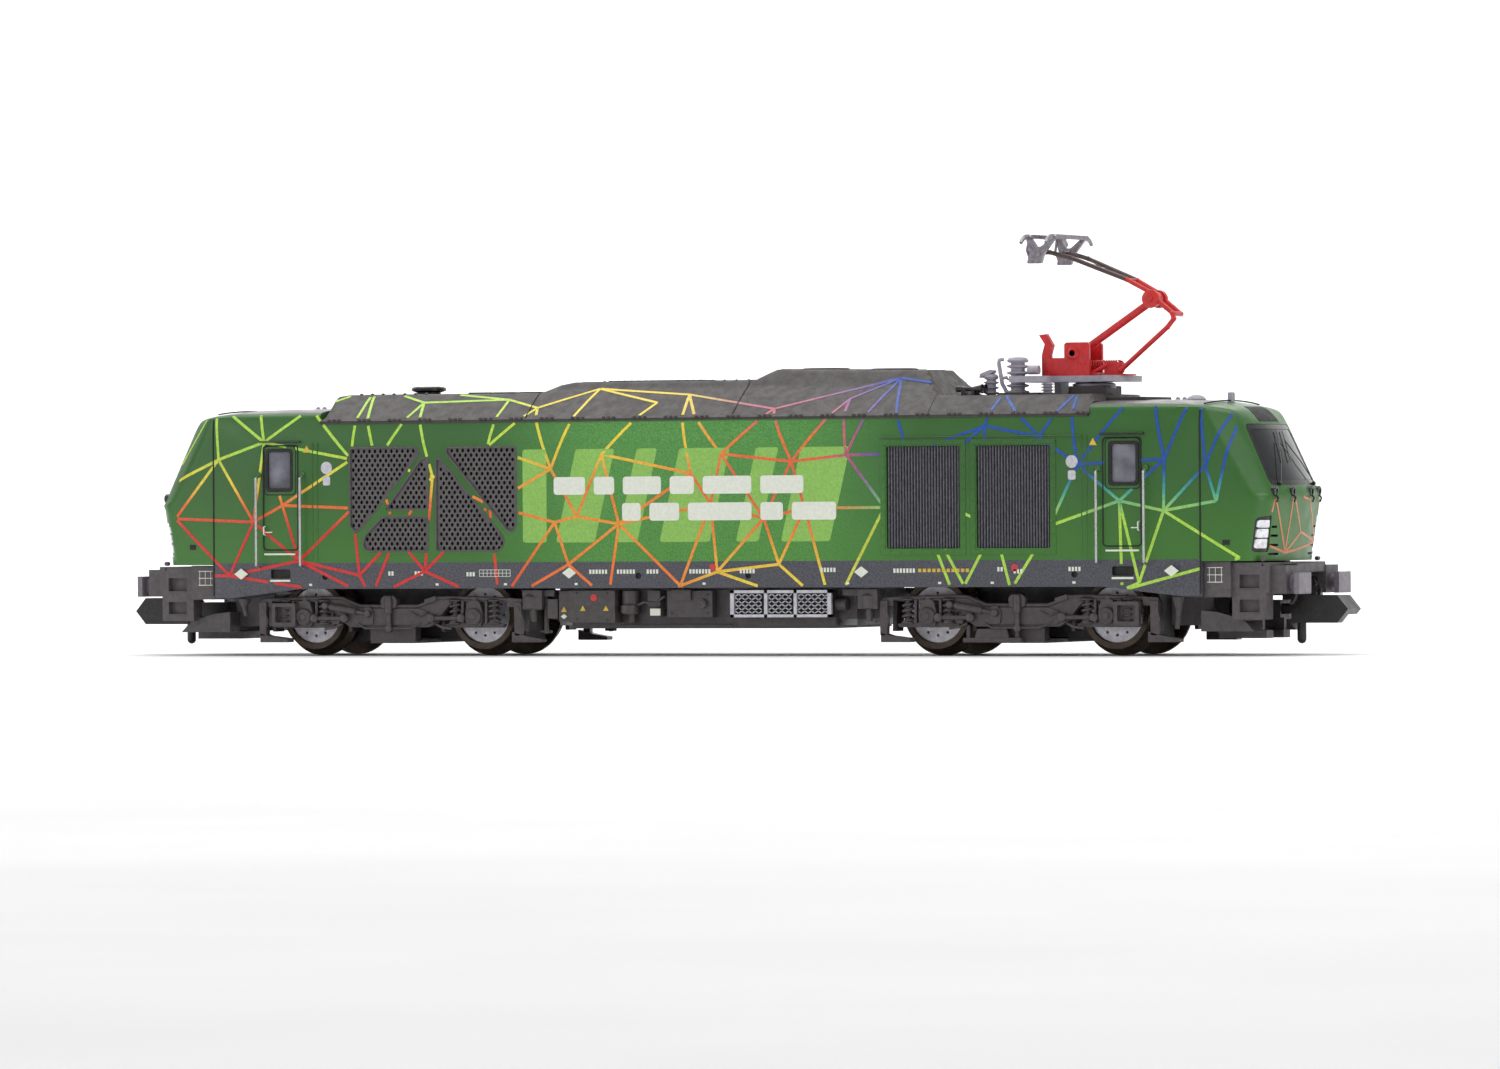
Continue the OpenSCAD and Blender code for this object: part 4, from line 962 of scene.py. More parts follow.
def build_roof():
    """Hoods with their seams, bolts, fan covers, ribs and the round vent cap."""
    roof_skin("hood_skin", HOOD_LINE, "hood_paint", "roof_cover")
    roof_skin("deck_skin", DECK_LINE, "deck_paint", "equipment_deck")
    seams, bolts, vents = Shape(), Shape(), Shape()
    for x in (-18.4, 3.9):
        seams.tube([(x, y, roof_z(x, y)) for y in np.linspace(-8.6, 8.6, 45)], 0.07, 6)
    for y in (-2.3, 2.3):
        seams.tube([(x, y, roof_z(x, y)) for x in np.linspace(-39, 22, 120)], 0.06, 6)
    for start in np.arange(-40, 40.5, 3.35):
        for i in range(3):
            bolts.dome((start + 0.55 * i, -8.72, 23.48), (0, -1, 0.75), 0.2, 0.17)
    for xs, y, z, radius, height in ((np.arange(-38.2, -31, 1.2), -4.9, 26.02, 0.2, 0.16),
                                     (np.arange(-12.0, 4, 1.3), -3.7, 27.02, 0.16, 0.14)):
        for x in xs:
            bolts.dome((x, y, z), (0, -0.6, 1), radius, height)
    seams.box((-41, -8.82, 23.12), (41.4, -8.6, 23.26))
    seams.mirrored("Y")
    bolts.mirrored("Y")
    cap = Shape().lathe([(1.2, -0.5), (1.2, 0.35), (1.75, 0.55), (1.75, 0.8), (1.5, 0.95), (0.5, 0.8),
                         (0, 0.8)],
                        (-33.1, 0, 25.9), UP, 40)
    for x in (10.3, 17.6):
        z = roof_z(x, 0)
        rim = [(2.35, -0.3), (2.35, 0.1), (2.1, 0.16), (2.05, -0.02), (0, -0.02)]
        vents.lathe(rim, (x, 0, z), UP, 48)
        vents.lathe([(0.45, -0.2), (0.45, 0.12), (0, 0.16)], (x, 0, z), UP, 20)
        for k in range(12):
            a = k * math.pi / 6
            vents.tube([(x + 0.4 * math.cos(a), 0.4 * math.sin(a), z + 0.06),
                        (x + 2.1 * math.cos(a + 0.3), 2.1 * math.sin(a + 0.3), z + 0.06)], 0.07, 6)
        for r in (0.9, 1.35, 1.75):
            vents.tube([(*p, z + 0.09) for p in oval(x, 0, r, r, 40)], 0.045, 6, loop=True)
    for x in np.arange(-12.4, -2.5, 0.75):
        z = roof_z(x, 0)
        vents.plate([(x, z - 0.1), (x + 0.34, z - 0.1), (x + 0.2, z + 0.16), (x, z + 0.1)], 0.04, "Y",
                    -1.9, 1.9)
    for x in (-26.8, -24.0, -21.2):
        z = roof_z(x, 0)
        vents.box((x - 1.1, -1.7, z - 0.1), (x + 1.1, 1.7, z + 0.18))
    finish(seams, "hood_seams", "hood_paint")
    finish(bolts, "hood_bolts", "hood_paint")
    finish(vents, "hood_vents", "hood_paint", edge=0.03)
    finish(cap, "vent_cap", "roof_black")


def build_deck_pedestal():
    """Stepped block under the pantograph, and the flat cover behind it."""
    block = Shape()
    stand = Shape().plate([(36.8, -2.4), (40.7, -2.4), (40.7, 2.4), (36.8, 2.4)], 0.5, "Z", 25.2, 26.1)
    finish(stand, "pantograph_stand", "deck_paint", edge=0.08)
    block.plate([(41.3, -3.6), (45.4, -3.6), (45.4, 3.6), (41.3, 3.6)], 0.4, "Z", 24.4, 24.98)
    block.plate([(30.2, -4.4), (34.6, -4.4), (34.6, -1.4), (30.2, -1.4)], 0.3, "Z", 25.2, 25.5)
    for x in (33.0, 34.0):
        block.tube([(x, -5.2, 25.35), (x, 5.2, 25.35)], 0.12, 8)
    finish(block, "pantograph_pedestal", "deck_paint", edge=0.06)


def insulator_stack(shape, at, height, radius, rings, cap=True):
    """Ribbed porcelain post with a domed cap."""
    profile = [(radius * 0.62, 0)]
    step = height / rings
    for i in range(rings):
        z = i * step
        rib = ((0.62, 0.12), (0.97, 0.34), (1, 0.5), (0.93, 0.58), (0.62, 0.72))
        profile += [(radius * wide, z + up * step) for wide, up in rib]
    profile.append((radius * 0.62, height))
    if cap:
        dome = ((0.86, 0.05), (0.95, 0.25), (0.8, 0.48), (0.4, 0.6))
        profile += [(radius * wide, height + up) for wide, up in dome]
    profile.append((0, profile[-1][1]))
    shape.lathe(profile, at, UP, 36)


def build_insulators():
    """Ribbed posts and the round foot on the deck, and the arm of the disconnector."""
    stacks, arm = Shape(), Shape()
    insulator_stack(stacks, (31.9, -3, 25.3), 3.1, 1.12, 5)
    insulator_stack(stacks, (29.1, -3, 25.3), 1.5, 0.75, 3)
    for y in (-4, 4):
        insulator_stack(stacks, (35.4, y, 25.3), 1.15, 0.68, 4, cap=False)
    stacks.lathe([(1.6, -0.35), (2.1, -0.2), (2.1, 0.2), (1.7, 0.36), (0, 0.38)], (38.7, 0, 26.1), UP, 40)
    post = ((30.6, 28.75), (30.15, 28.7), (30.1, 28.4), (30.45, 26.4), (30.9, 25.6), (31.5, 25.5))
    arm.tube([(x, -3.5, z) for x, z in post], 0.2, 10)
    arm.tube([(30.2, -3.5, 26.9), (31.0, -3.5, 27.0)], 0.16, 8)
    arm.plate([(28.3, 27.1), (29.4, 27.45), (29.5, 27.7), (29.2, 27.8), (28.1, 27.4), (28.0, 26.95)],
              0.12, "Y", -3.5, -2.5)
    finish(stacks, "insulator_stacks", "insulator_plastic",
           ["roof_insulators"])
    finish(arm, "disconnector_arm", "insulator_plastic", edge=0.04)


def build_horns():
    """Two horns on the deck, and the small domes and peg on the cab roofs."""
    horn, aerials = Shape(), Shape()
    for y in (-5.4, -4.5):
        horn.lathe([(0.2, 0), (0.3, 0.05), (0.3, 0.5), (0.22, 0.6), (0.2, 1.5), (0.24, 1.9), (0.34, 2.35),
                    (0.46, 2.68), (0.48, 2.78), (0.4, 2.76), (0.2, 2.3), (0, 2.2)], (26.4, y, 25.9),
                   (1, 0, 0), 28)
    horn.box((27.0, -5.7, 25.3), (27.5, -4.2, 25.85))
    horn.box((28.1, -5.7, 25.3), (28.4, -4.2, 25.8))
    aerials.lathe([(0.95, -0.2), (0.95, 0.12), (0.75, 0.34), (0.4, 0.5), (0, 0.54)], (49.3, 0, 24.62), UP,
                  36)
    for x, y in ((46.6, 2.0), (47.3, 2.0), (-45.3, 1.0), (-46.0, 1.0)):
        aerials.dome((x, y, 24.66), UP, 0.26, 0.34, 14)
    aerials.lathe([(0.36, -0.4), (0.36, 0.82), (0.3, 0.94), (0, 0.98)], (52.9, 0, 24.4), UP, 24)
    finish(horn, "horns", "roof_black", ["roof_horns"], edge=0.03)
    finish(aerials, "roof_domes", "insulator_plastic")


# ---------------------------------------------------------------- pantograph

def helix(start, end, radius, turns, per_turn=14):
    """Points of a coil between two points."""
    start, end = np.asarray(start, float), np.asarray(end, float)
    axis = unit(end - start)
    side = unit(np.cross(axis, (0, 1, 0) if abs(axis[1]) < 0.9 else (1, 0, 0)))
    up = np.cross(axis, side)
    n = int(turns * per_turn)
    return [start + (end - start) * i / n + radius * (math.cos(2 * math.pi * i / per_turn) * side
                                                      + math.sin(2 * math.pi * i / per_turn) * up)
            for i in range(n + 1)]


def build_pantograph_frame():
    """The lift spring with its hook, and small parts on the frame."""
    spring = Shape()
    spring.tube(helix((38.05, 0.35, 28.15), (41.1, 0.35, 28.15), 0.42, 12), 0.075, 8)
    hook = [(41.1, 0.35, 28.55), (41.5, 0.3, 28.45), (41.85, 0.0, 28.1), (41.9, -0.4, 27.75),
            (41.5, -0.62, 27.5)]
    spring.tube(hook, 0.1, 8)
    finish(spring, "lift_spring_coil", "panto_red", ["lift_spring"])
    frame_parts = Shape()
    frame_parts.lathe([(0.62, 0), (0.66, 0.06), (0.5, 0.16), (0.3, 0.2), (0, 0.2)], (37.2, -1.9, 29.3),
                      NEAR, 28)
    frame_parts.tube(smooth_path([(39.0, -1.3, 27.4), (39.8, -1.3, 27.8), (40.5, -1.25, 28.15)], 0.3),
                     0.16, 8)
    finish(frame_parts, "pantograph_fittings", "panto_red")


def build_collector_head():
    """Two contact strips with horns, on brackets and cross bars."""
    head = Shape()
    strip = [(-4.35, 40.43), (4.35, 40.43), (4.35, 40.6), (4.1, 40.82), (-4.1, 40.82), (-4.35, 40.6)]
    horn = ((4.1, 40.62), (4.8, 40.56), (5.3, 40.42), (5.7, 40.2), (5.95, 39.95))
    for x in (33.5, 36.1):
        head.prism(strip, "X", x - 0.42, x + 0.42)
        for side in (-1, 1):
            head.tube([(x, side * y, z) for y, z in horn], (0.26, 0.25, 0.23, 0.2, 0.17), 10)
    for y in (-2.0, 2.0):
        head.box((33.4, y - 0.12, 40.46), (36.2, y + 0.12, 40.7))
    bracket = [(33.35, 38.0), (34.85, 38.0), (35.1, 38.9), (36.35, 40.45), (35.8, 40.45), (34.85, 39.65),
               (34.4, 39.6), (33.85, 40.45), (33.25, 40.45), (33.6, 39.2)]
    for y in (-3.85, 3.85):
        head.plate(bracket, 0.14, "Y", y - 0.24, y + 0.24, 4)
        for x, z in ((33.9, 38.5), (34.5, 38.9), (33.7, 39.4)):
            head.dome((x, y + math.copysign(0.2, y), z), (0, math.copysign(1, y), 0), 0.3, 0.22, 12)
        head.tube([(33.6, y * 0.98, 38.3), (33.2, y * 0.95, 39.3), (33.4, y * 0.93, 40.4)], 0.14, 8)
    for y0, y1 in ((-3.7, -3.05), (3.05, 3.7)):
        head.tube([(34.65, y0, 39.1), (34.65, y1, 39.1)], 0.27, 12)
    finish(head, "collector_head", "head_metal", ["pantograph_head"], 0.04,
           body="pantograph_head")


def build_knee():
    """Covers on the knee, and the wires that brace the upper arm."""
    knee = pivots["pantograph_knee"] * (1, 0, 1)
    joints = Shape()
    for side in (-1, 1):
        at = knee + (0, side * 1.2, 0)
        joints.lathe([(0.86, -0.25), (0.9, 0.0), (0.86, 0.12), (0.55, 0.2), (0.3, 0.2), (0.28, 0.32),
                      (0, 0.34)],
                     at, (0, side, 0), 32)
    joints.tube([(42.4, -1.42, 36.4), (39.6, 0, 37.5), (42.4, 1.42, 36.4)], 0.09, 8)
    for y in (2.2, -2.2):
        joints.tube([(39.6, 0, 37.5), (37.4, y, 38.45)], 0.08, 8)
    finish(joints, "knee_covers", "upper_arm", body="upper_arm")


# ---------------------------------------------------------------- bogies

def bogie_side(end):
    """Near side frame of a bogie about its pivot; the far side is its mirror image."""
    frame_part, springs = Shape(), Shape()
    outline = [(-4.4, 2.85), (4.4, 2.85), (5.3, 3.45), (5.75, 4.1), (6.5, 5.0), (7.2, 5.38), (13.35, 5.4),
               (13.35, 5.78), (6.6, 5.98), (5.4, 5.95), (4.6, 5.72), (3.6, 5.05), (2.9, 4.92),
               (-2.9, 4.92), (-3.6, 5.05), (-4.6, 5.72), (-5.4, 5.95), (-6.6, 5.98), (-13.35, 5.78),
               (-13.35, 5.4), (-7.2, 5.38), (-6.5, 5.0), (-5.75, 4.1), (-5.3, 3.45)]
    frame_part.plate(outline, 0.35, "Y", -7.95, -7.25, 4)
    raised = [(-4.0, 3.05), (4.0, 3.05), (4.9, 3.6), (4.4, 4.3), (3.3, 4.72), (-3.3, 4.72), (-4.4, 4.3),
              (-4.9, 3.6)]
    frame_part.plate(raised, 0.3, "Y", -8.12, -7.8, 4)
    rim = [(-13.2, 5.62), (-6.6, 5.8), (-5.2, 5.75), (-4.2, 5.3), (-3.2, 4.95)]
    frame_part.tube([(x, -7.95, z) for x, z in smooth_path(rim + mirror_image(rim[::-1]))], 0.2, 8)
    for s in (-1, 1):
        x = s * half_base
        box_line = rounded([(x - 0.85, 2.9), (x + 0.85, 2.9), (x + 0.95, 4.3), (x + 0.6, 5.5),
                            (x - 0.6, 5.5), (x - 0.95, 4.3)], 0.3)
        frame_part.prism(box_line, "Y", -8.25, -7.25)
        frame_part.lathe([(0.86, 0), (0.86, 0.25), (0.74, 0.38), (0.62, 0.38), (0.58, 0.3), (0.36, 0.3),
                          (0.3, 0.42), (0, 0.44)], (x, -8.2, axle_z - 0.15), NEAR, 32)
        arm = rounded([(x - 3.1, 2.8), (x + 3.1, 2.8), (x + 3.3, 3.15), (x + 1.0, 3.3), (x - 1.0, 3.3),
                       (x - 3.3, 3.15)],
                      0.14)
        frame_part.prism(arm, "Y", -7.95, -7.3)
        for dx in (-2.15, 2.15):
            springs.tube(helix((x + dx, -7.88, 3.3), (x + dx, -7.88, 5.45), 0.5, 4.2), 0.14, 8)
            springs.lathe([(0.26, 0), (0.26, 2.2)], (x + dx, -7.88, 3.25), UP, 14)
            for z in (3.15, 5.4):
                frame_part.lathe([(0.64, 0), (0.68, 0.06), (0.68, 0.16), (0.6, 0.2)], (x + dx, -7.88, z),
                                 UP, 24)
        frame_part.lathe([(0.34, -0.1), (0.34, 0.35), (0.2, 0.45), (0, 0.45)], (x, -7.9, 5.5), UP, 16)
        rod = [(s * 4.6, -8.35, 3.75), (s * 8.3, -8.35, 3.75)]
        frame_part.tube(rod, 0.23, 10)
        for k in (0.05, 0.95):
            p = np.array(rod[0]) * (1 - k) + np.array(rod[1]) * k
            frame_part.lathe([(0.42, -0.3), (0.42, 0.3), (0.3, 0.38), (0, 0.4)], p, NEAR, 20)
        frame_part.tube([(s * 5.2, -8.2, 3.2), (s * 5.9, -8.35, 2.85), (s * 7.0, -8.35, 2.7)], 0.14, 8)
        for dx in (-1.3, 1.3):
            frame_part.box((x + dx - 0.14, -8.1, 3.2), (x + dx + 0.14, -7.5, 5.5))
    p, q = np.array([-6.9, -8.42, 5.0]), np.array([-2.2, -8.42, 4.2])
    frame_part.tube([p, q], 0.2, 10)
    frame_part.tube([p + 0.1 * (q - p), p + 0.12 * (q - p), p + 0.7 * (q - p), p + 0.72 * (q - p)],
                    (0.26, 0.36, 0.36, 0.3), 14)
    for at in (p, q):
        frame_part.lathe([(0.36, -0.35), (0.36, 0.28), (0.26, 0.36), (0, 0.38)], at, NEAR, 20)
    frame_part.tube([(0.1, -8.42, 5.95), (0.1, -8.42, 5.5), (0.1, -8.42, 4.2), (0.12, -8.42, 4.15),
                     (0.15, -8.42, 2.6)],
                    (0.3, 0.38, 0.38, 0.24, 0.24), 14)
    frame_part.lathe([(0.34, -0.3), (0.34, 0.25), (0, 0.3)], (0.15, -8.42, 2.7), NEAR, 18)
    for outline, radius, outside, inside in (
            ([(-0.75, 4.75), (0.85, 4.75), (0.95, 5.6), (0.6, 6.0), (-0.5, 6.0), (-0.85, 5.6)], 0.2,
             -8.35, -7.5),
            ([(-2.9, 3.1), (-1.75, 3.1), (-1.6, 4.2), (-1.95, 4.85), (-2.7, 4.85)], 0.2, -8.3, -7.6),
            ([(4.0, 5.1), (5.3, 5.5), (5.2, 6.0), (3.9, 5.6)], 0.12, -8.25, -7.7),
            ([(-14.2, 4.85), (-13.0, 4.85), (-13.0, 5.75), (-14.2, 5.65)], 0.15, -8.15, -7.5),
            ([(13.0, 4.85), (14.65, 4.85), (14.65, 5.65), (13.0, 5.75)], 0.15, -8.15, -7.5),
            ([(-14.2, 1.35), (-11.1, 1.35), (-11.1, 1.75), (-13.2, 2.0), (-14.2, 2.3)], 0.1, -8.45, -7.1),
            ([(13.65, 1.35), (16.85, 1.35), (16.85, 1.7), (15.3, 1.95), (13.65, 2.4)], 0.1, -8.45, -7.1)):
        frame_part.plate(outline, radius, "Y", outside, inside)
    frame_part.tube(smooth_path([(-3.4, -8.1, 3.25), (-2.6, -8.3, 2.75), (2.4, -8.3, 2.75),
                                 (3.6, -8.1, 3.3)], 0.6),
                    0.11, 8)
    frame_part.tube(smooth_path([(2.4, -8.15, 4.4), (3.4, -8.3, 3.9), (4.3, -8.25, 4.4)], 0.3), 0.09, 8)
    for x, top in ((-13.9, 5.4), (14.3, 5.3)):
        frame_part.plate([(x - 0.36, 2.0), (x + 0.36, 2.0), (x + 0.42, top), (x - 0.42, top)], 0.15, "Y",
                         -8.45, -7.75)
        frame_part.tube([(x, -8.4, 5.0), (x + 0.5, -8.3, 3.6), (x + 0.1, -8.3, 2.2)], 0.13, 8)
    centre = 11.6 if end == "front" else -11.35
    outer = rounded(rectangle(centre - 1.32, 2.92, centre + 1.28, 5.28), 0.18, 4)
    inner = rounded(rectangle(centre - 0.95, 3.35, centre + 0.9, 4.9), 0.15, 4)
    frame_part.frame(outer, inner, -8.88, -8.2)
    frame_part.box((centre - 1.0, -8.25, 3.3), (centre + 1.0, -7.8, 4.95))
    if end == "front":
        frame_part.plate([(-5.7, 1.32), (0.4, 1.32), (0.4, 1.78), (-5.7, 1.78)], 0.12, "Y", -8.15, -7.3)
        frame_part.plate([(-4.5, 1.75), (-0.9, 1.75), (-1.1, 2.65), (-4.2, 2.65)], 0.15, "Y", -8.1, -7.4)
        for x in (-5.2, -0.1):
            frame_part.box((x - 0.18, -8.0, 1.7), (x + 0.18, -7.5, 3.0))
    return frame_part, springs


def build_bogie(end):
    """Both side frames with springs, the cross pieces between them and the brake shoes."""
    frame_part, springs = bogie_side(end)
    frame_part.mirrored("Y")
    springs.mirrored("Y")
    slant = ((0.93, 2.4), (1.02, 2.4), (1.0, 5.3), (0.9, 5.3))
    for side in (-1, 1):
        frame_part.box((-3.3, side * 5.1 - 2.15, 3.0), (3.3, side * 5.1 + 2.15, 4.8))
        for s in (-1, 1):
            for dx in (-4.35, 4.35):
                shoe = [(s * half_base + dx * k, z) for k, z in slant]
                frame_part.prism(shoe, "Y", side * 4.6, side * 6.4)
    frame_part.box((-2.5, -7.2, 1.25), (2.5, 7.2, 1.68))
    for side in (-1, 1):
        frame_part.box((-2.5, side * 6.65 - 0.6, 1.5), (2.5, side * 6.65 + 0.6, 3.2))
    at = (bogie_x[end], 0, 0)
    for shape, name, nodes, edge in ((frame_part, "sides", [f"bogie_frame_{end}"], 0.05),
                                     (springs, "springs", [], None)):
        finish(shape.moved(at), f"bogie_{name}_{end}", "bogie_plastic", nodes, edge,
               body=f"bogie_{end}")


# ---------------------------------------------------------------- printed pattern

def keep_outs():
    """Places in the side view where nothing is printed."""
    areas = [rounded(field, 0.3) for field in GRILLE_FIELDS]
    low, high = RADIATOR_Z
    areas += [rectangle(x0 - 0.1, low - 0.1, x1 + 0.1, high + 0.1) for x0, x1 in RADIATORS]
    for window_or_step in ((43.55, 16.2, 47.05, 20.9), (44.0, 7.3, 46.4, 8.75)):
        areas += both_sides(rectangle(*window_or_step))
    return areas


KEEP_OUTS = keep_outs()


def on_hood(x, z):
    return z > seat_z and -40.9 < x < 41.4


def side_place(x, z):
    """Point of the near surface, body or hood, at a place in the side view."""
    if on_hood(x, z):
        widths, heights = zip(*ARCH[::-1])
        return np.array([x, -float(np.interp(z, heights, widths)), z])
    return np.array([x, -side_y(x, z), z])


def side_takes_print(x, z):
    """False over windows, grilles, seams and the edges of the surface."""
    if abs(x) > 57.4 or any(inside_outline((x, z), area) for area in KEEP_OUTS):
        return False
    if on_hood(x, z + 0.05):
        line = HOOD_LINE if x < HOOD_LINE[-1][0] else DECK_LINE
        return 23.55 < z < np.interp(x, *zip(*line)) - 0.12
    low = 5.85 if 51.0 < abs(x) < joint_x else np.interp(abs(x), (43, 52), (6.85, 5.8))
    return low < z < 24.1 and side_y(x, z) > 6.6 and not (abs(x) > joint_x and z < skirt_z - 0.05)


def ribbon(shape, places, width, lift):
    """A thin printed strip along places on a surface; the normal of each place comes with it."""
    rings = []
    n = len(places)
    for i, (p, normal) in enumerate(places):
        along = unit(np.subtract(places[min(i + 1, n - 1)][0], places[max(i - 1, 0)][0]))
        side = unit(np.cross(normal, along)) * width / 2
        out = np.asarray(normal) * lift
        rings.append([p - side - out, p + side - out, p + side + out, p - side + out])
    shape.rings(rings)


def lay_line(shape, place, takes_print, start, end, width, outward):
    """A strip between two places, broken where the surface carries no print.

    The lift varies from line to line, so that no two faces coincide where lines cross.
    """
    run, d = [], 0.15
    lift = 0.016 + 0.0015 * (len(shape.faces) % 13)
    for u, v in smooth_path([start, end], 0.25) + [(math.inf, math.inf)]:
        if math.isfinite(u) and takes_print(u, v):
            across, up = place(u + d, v) - place(u - d, v), place(u, v + d) - place(u, v - d)
            normal = unit(np.cross(across, up))
            run.append((place(u, v), normal * math.copysign(1, np.dot(normal, outward))))
            continue
        if len(run) > 1:
            ribbon(shape, run, width, lift)
        run = []


def star_net(columns, rows, low, high, jitter, drop):
    """Nodes on a jittered grid and the lines of their triangulation; some and the longest are left out."""
    nodes, longest = [], 17
    for i, j in product(range(columns), range(rows)):
        u = low[0] + (high[0] - low[0]) * (i + 0.5 * (j % 2) + 0.25) / columns
        v = low[1] + (high[1] - low[1]) * (j + 0.5) / rows
        nodes.append(Vector((u + RNG.normal(0, jitter[0]), v + RNG.normal(0, jitter[1]))))
    edges = delaunay_2d_cdt(nodes, [], [], 0, 1e-6)[1]
    return [(nodes[a], nodes[b]) for a, b in edges
            if RNG.random() > drop and (nodes[a] - nodes[b]).length < longest]


def build_lines():
    """The printed net of coloured lines on both sides and noses."""
    sides = Shape()
    for start, end in star_net(19, 4, (-60.5, 4.6), (59.5, 28.5), (1.9, 1.2), 0.1):
        lay_line(sides, side_place, side_takes_print, start, end, 0.29, (0, -1, 0.2))
    finish(sides.mirrored("Y"), "star_lines_side", "line_print", angle=60)
    nose = Shape()

    def nose_place(y, z):
        return np.array([nose_x(y, z), y, z])

    def nose_takes_print(y, z):
        beside_lamps = inside_outline((abs(y), z), rectangle(5.9, 9.9, 8.8, 13.5))
        return abs(y) < 7.2 and 9.4 < z < 15.2 and not beside_lamps

    for start, end in star_net(4, 2, (-8.6, 7.6), (8.6, 17.5), (0.7, 0.6), 0.1):
        lay_line(nose, nose_place, nose_takes_print, start, end, 0.24, (1, 0, 0))
    finish(nose.mirrored("X"), "star_lines_nose", "line_print", angle=60)


def side_patch(shape, outline, lift=0.03):
    """A flat printed shape on both painted sides, in the side view; its back is sunk in the side."""
    for side in (-1, 1):
        shape.prism(outline, "Y", side * (half_w - 0.05), side * (half_w + lift))


def arc(centre, radius, start, end, steps=20):
    return [(centre[0] + radius * math.cos(math.radians(a)),
             centre[1] + radius * math.sin(math.radians(a)))
            for a in np.linspace(start, end, steps)]


def build_blocks():
    """Light blocks along the middle of each side with two rows of plain bars over them."""
    blocks, bars = Shape(), Shape()
    low, high = 11.2, 20.4
    for x, w, lean in ((-18.4, 2.6, 0.0), (-14.8, 4.2, 2.2), (-8.2, 2.2, 2.2), (-3.6, 5.4, 2.2),
                       (4.6, 2.4, 2.2), (9.4, 5.2, 2.2)):
        block = [(x, low), (x + w, low), (x + lean + w, high), (x + lean, high)]
        side_patch(blocks, rounded(block, 0.3, 4), 0.012)
    for row, x, widths in ((15.9, -15.0, (3.4, 2.2, 4.1, 2.6, 5.2, 4.6)),
                           (13.3, -7.6, (2.0, 3.2, 6.8, 2.4, 4.7))):
        for w in widths:
            side_patch(bars, rounded(rectangle(x, row, x + w, row + 1.75), 0.35, 4), 0.05)
            x += w + 0.95
    finish(blocks, "side_blocks", "block_print", angle=60)
    finish(bars, "side_bars", "white_print", angle=60)


def build_marks():
    """Small plain marks along the skirt and beside the doors, without any lettering."""
    white, red, yellow, pale = Shape(), Shape(), Shape(), Shape()

    def dash(shape, x, z, w, h):
        side_patch(shape, rectangle(x, z, x + w, z + h))

    pitch = 0.34
    for x in (-49.6, -13.4, 17.9, 50.2):
        side_patch(white, [(x - 0.75, 8.2), (x, 7.65), (x + 0.75, 8.2), (x, 8.75)])
    for x, z, w in ((-33.2, 8.0, 0.9), (-30.3, 8.0, 1.3), (-24.6, 7.9, 1.1), (-11.2, 8.1, 2.1),
                    (-8.2, 8.1, 2.2), (-5.0, 8.1, 1.4), (-0.4, 8.1, 2.4), (5.0, 8.1, 1.9),
                    (13.6, 8.2, 1.9), (21.3, 8.1, 2.4), (32.2, 8.2, 1.0), (33.9, 8.0, 1.2),
                    (39.6, 8.2, 1.6)):
        for i in range(int(w / pitch)):
            dash(white, x + pitch * i, z, 0.22, 0.42)
    for i in range(9):                  # a small ruled table
        dash(white, -23.2 + 0.42 * i, 7.85, 0.05, 0.7)
    for i in range(3):
        dash(white, -23.2, 7.85 + 0.33 * i, 3.4, 0.05)
    for i in range(11):
        dash(yellow, 23.9 + 0.5 * i, 8.15, 0.34, 0.34)
    for x in (-42.0, -28.0, -20.5, -12.8, 1.0, 16.3, 26.0, 31.5, 40.0):
        dash(white, x, 7.0, 0.32, 0.22)
    for x, z in ((2.1, 8.9), (34.0, 8.75)):
        side_patch(red, arc((x, z - 0.2), 0.36, 0, 342, 18))
    for sign in (-1, 1):
        side_patch(pale, arc((sign * 40.0, 18.75), 0.62, 0, 345, 24))
        side_patch(pale, rounded(rectangle(sign * 40.0 - 0.4, 17.0, sign * 40.0 + 0.4, 17.9), 0.2))
        side_patch(yellow, [(sign * 42.2 - 0.4, 20.3), (sign * 42.2 + 0.4, 20.3), (sign * 42.2, 21.0)])
    for shape, name, ink in ((white, "white_marks", "white_print"), (red, "red_marks", "red_print"),
                             (yellow, "yellow_marks", "yellow_print"),
                             (pale, "pale_marks", "silver_print")):
        finish(shape, name, ink, angle=60)


# ---------------------------------------------------------------- ends and underfloor

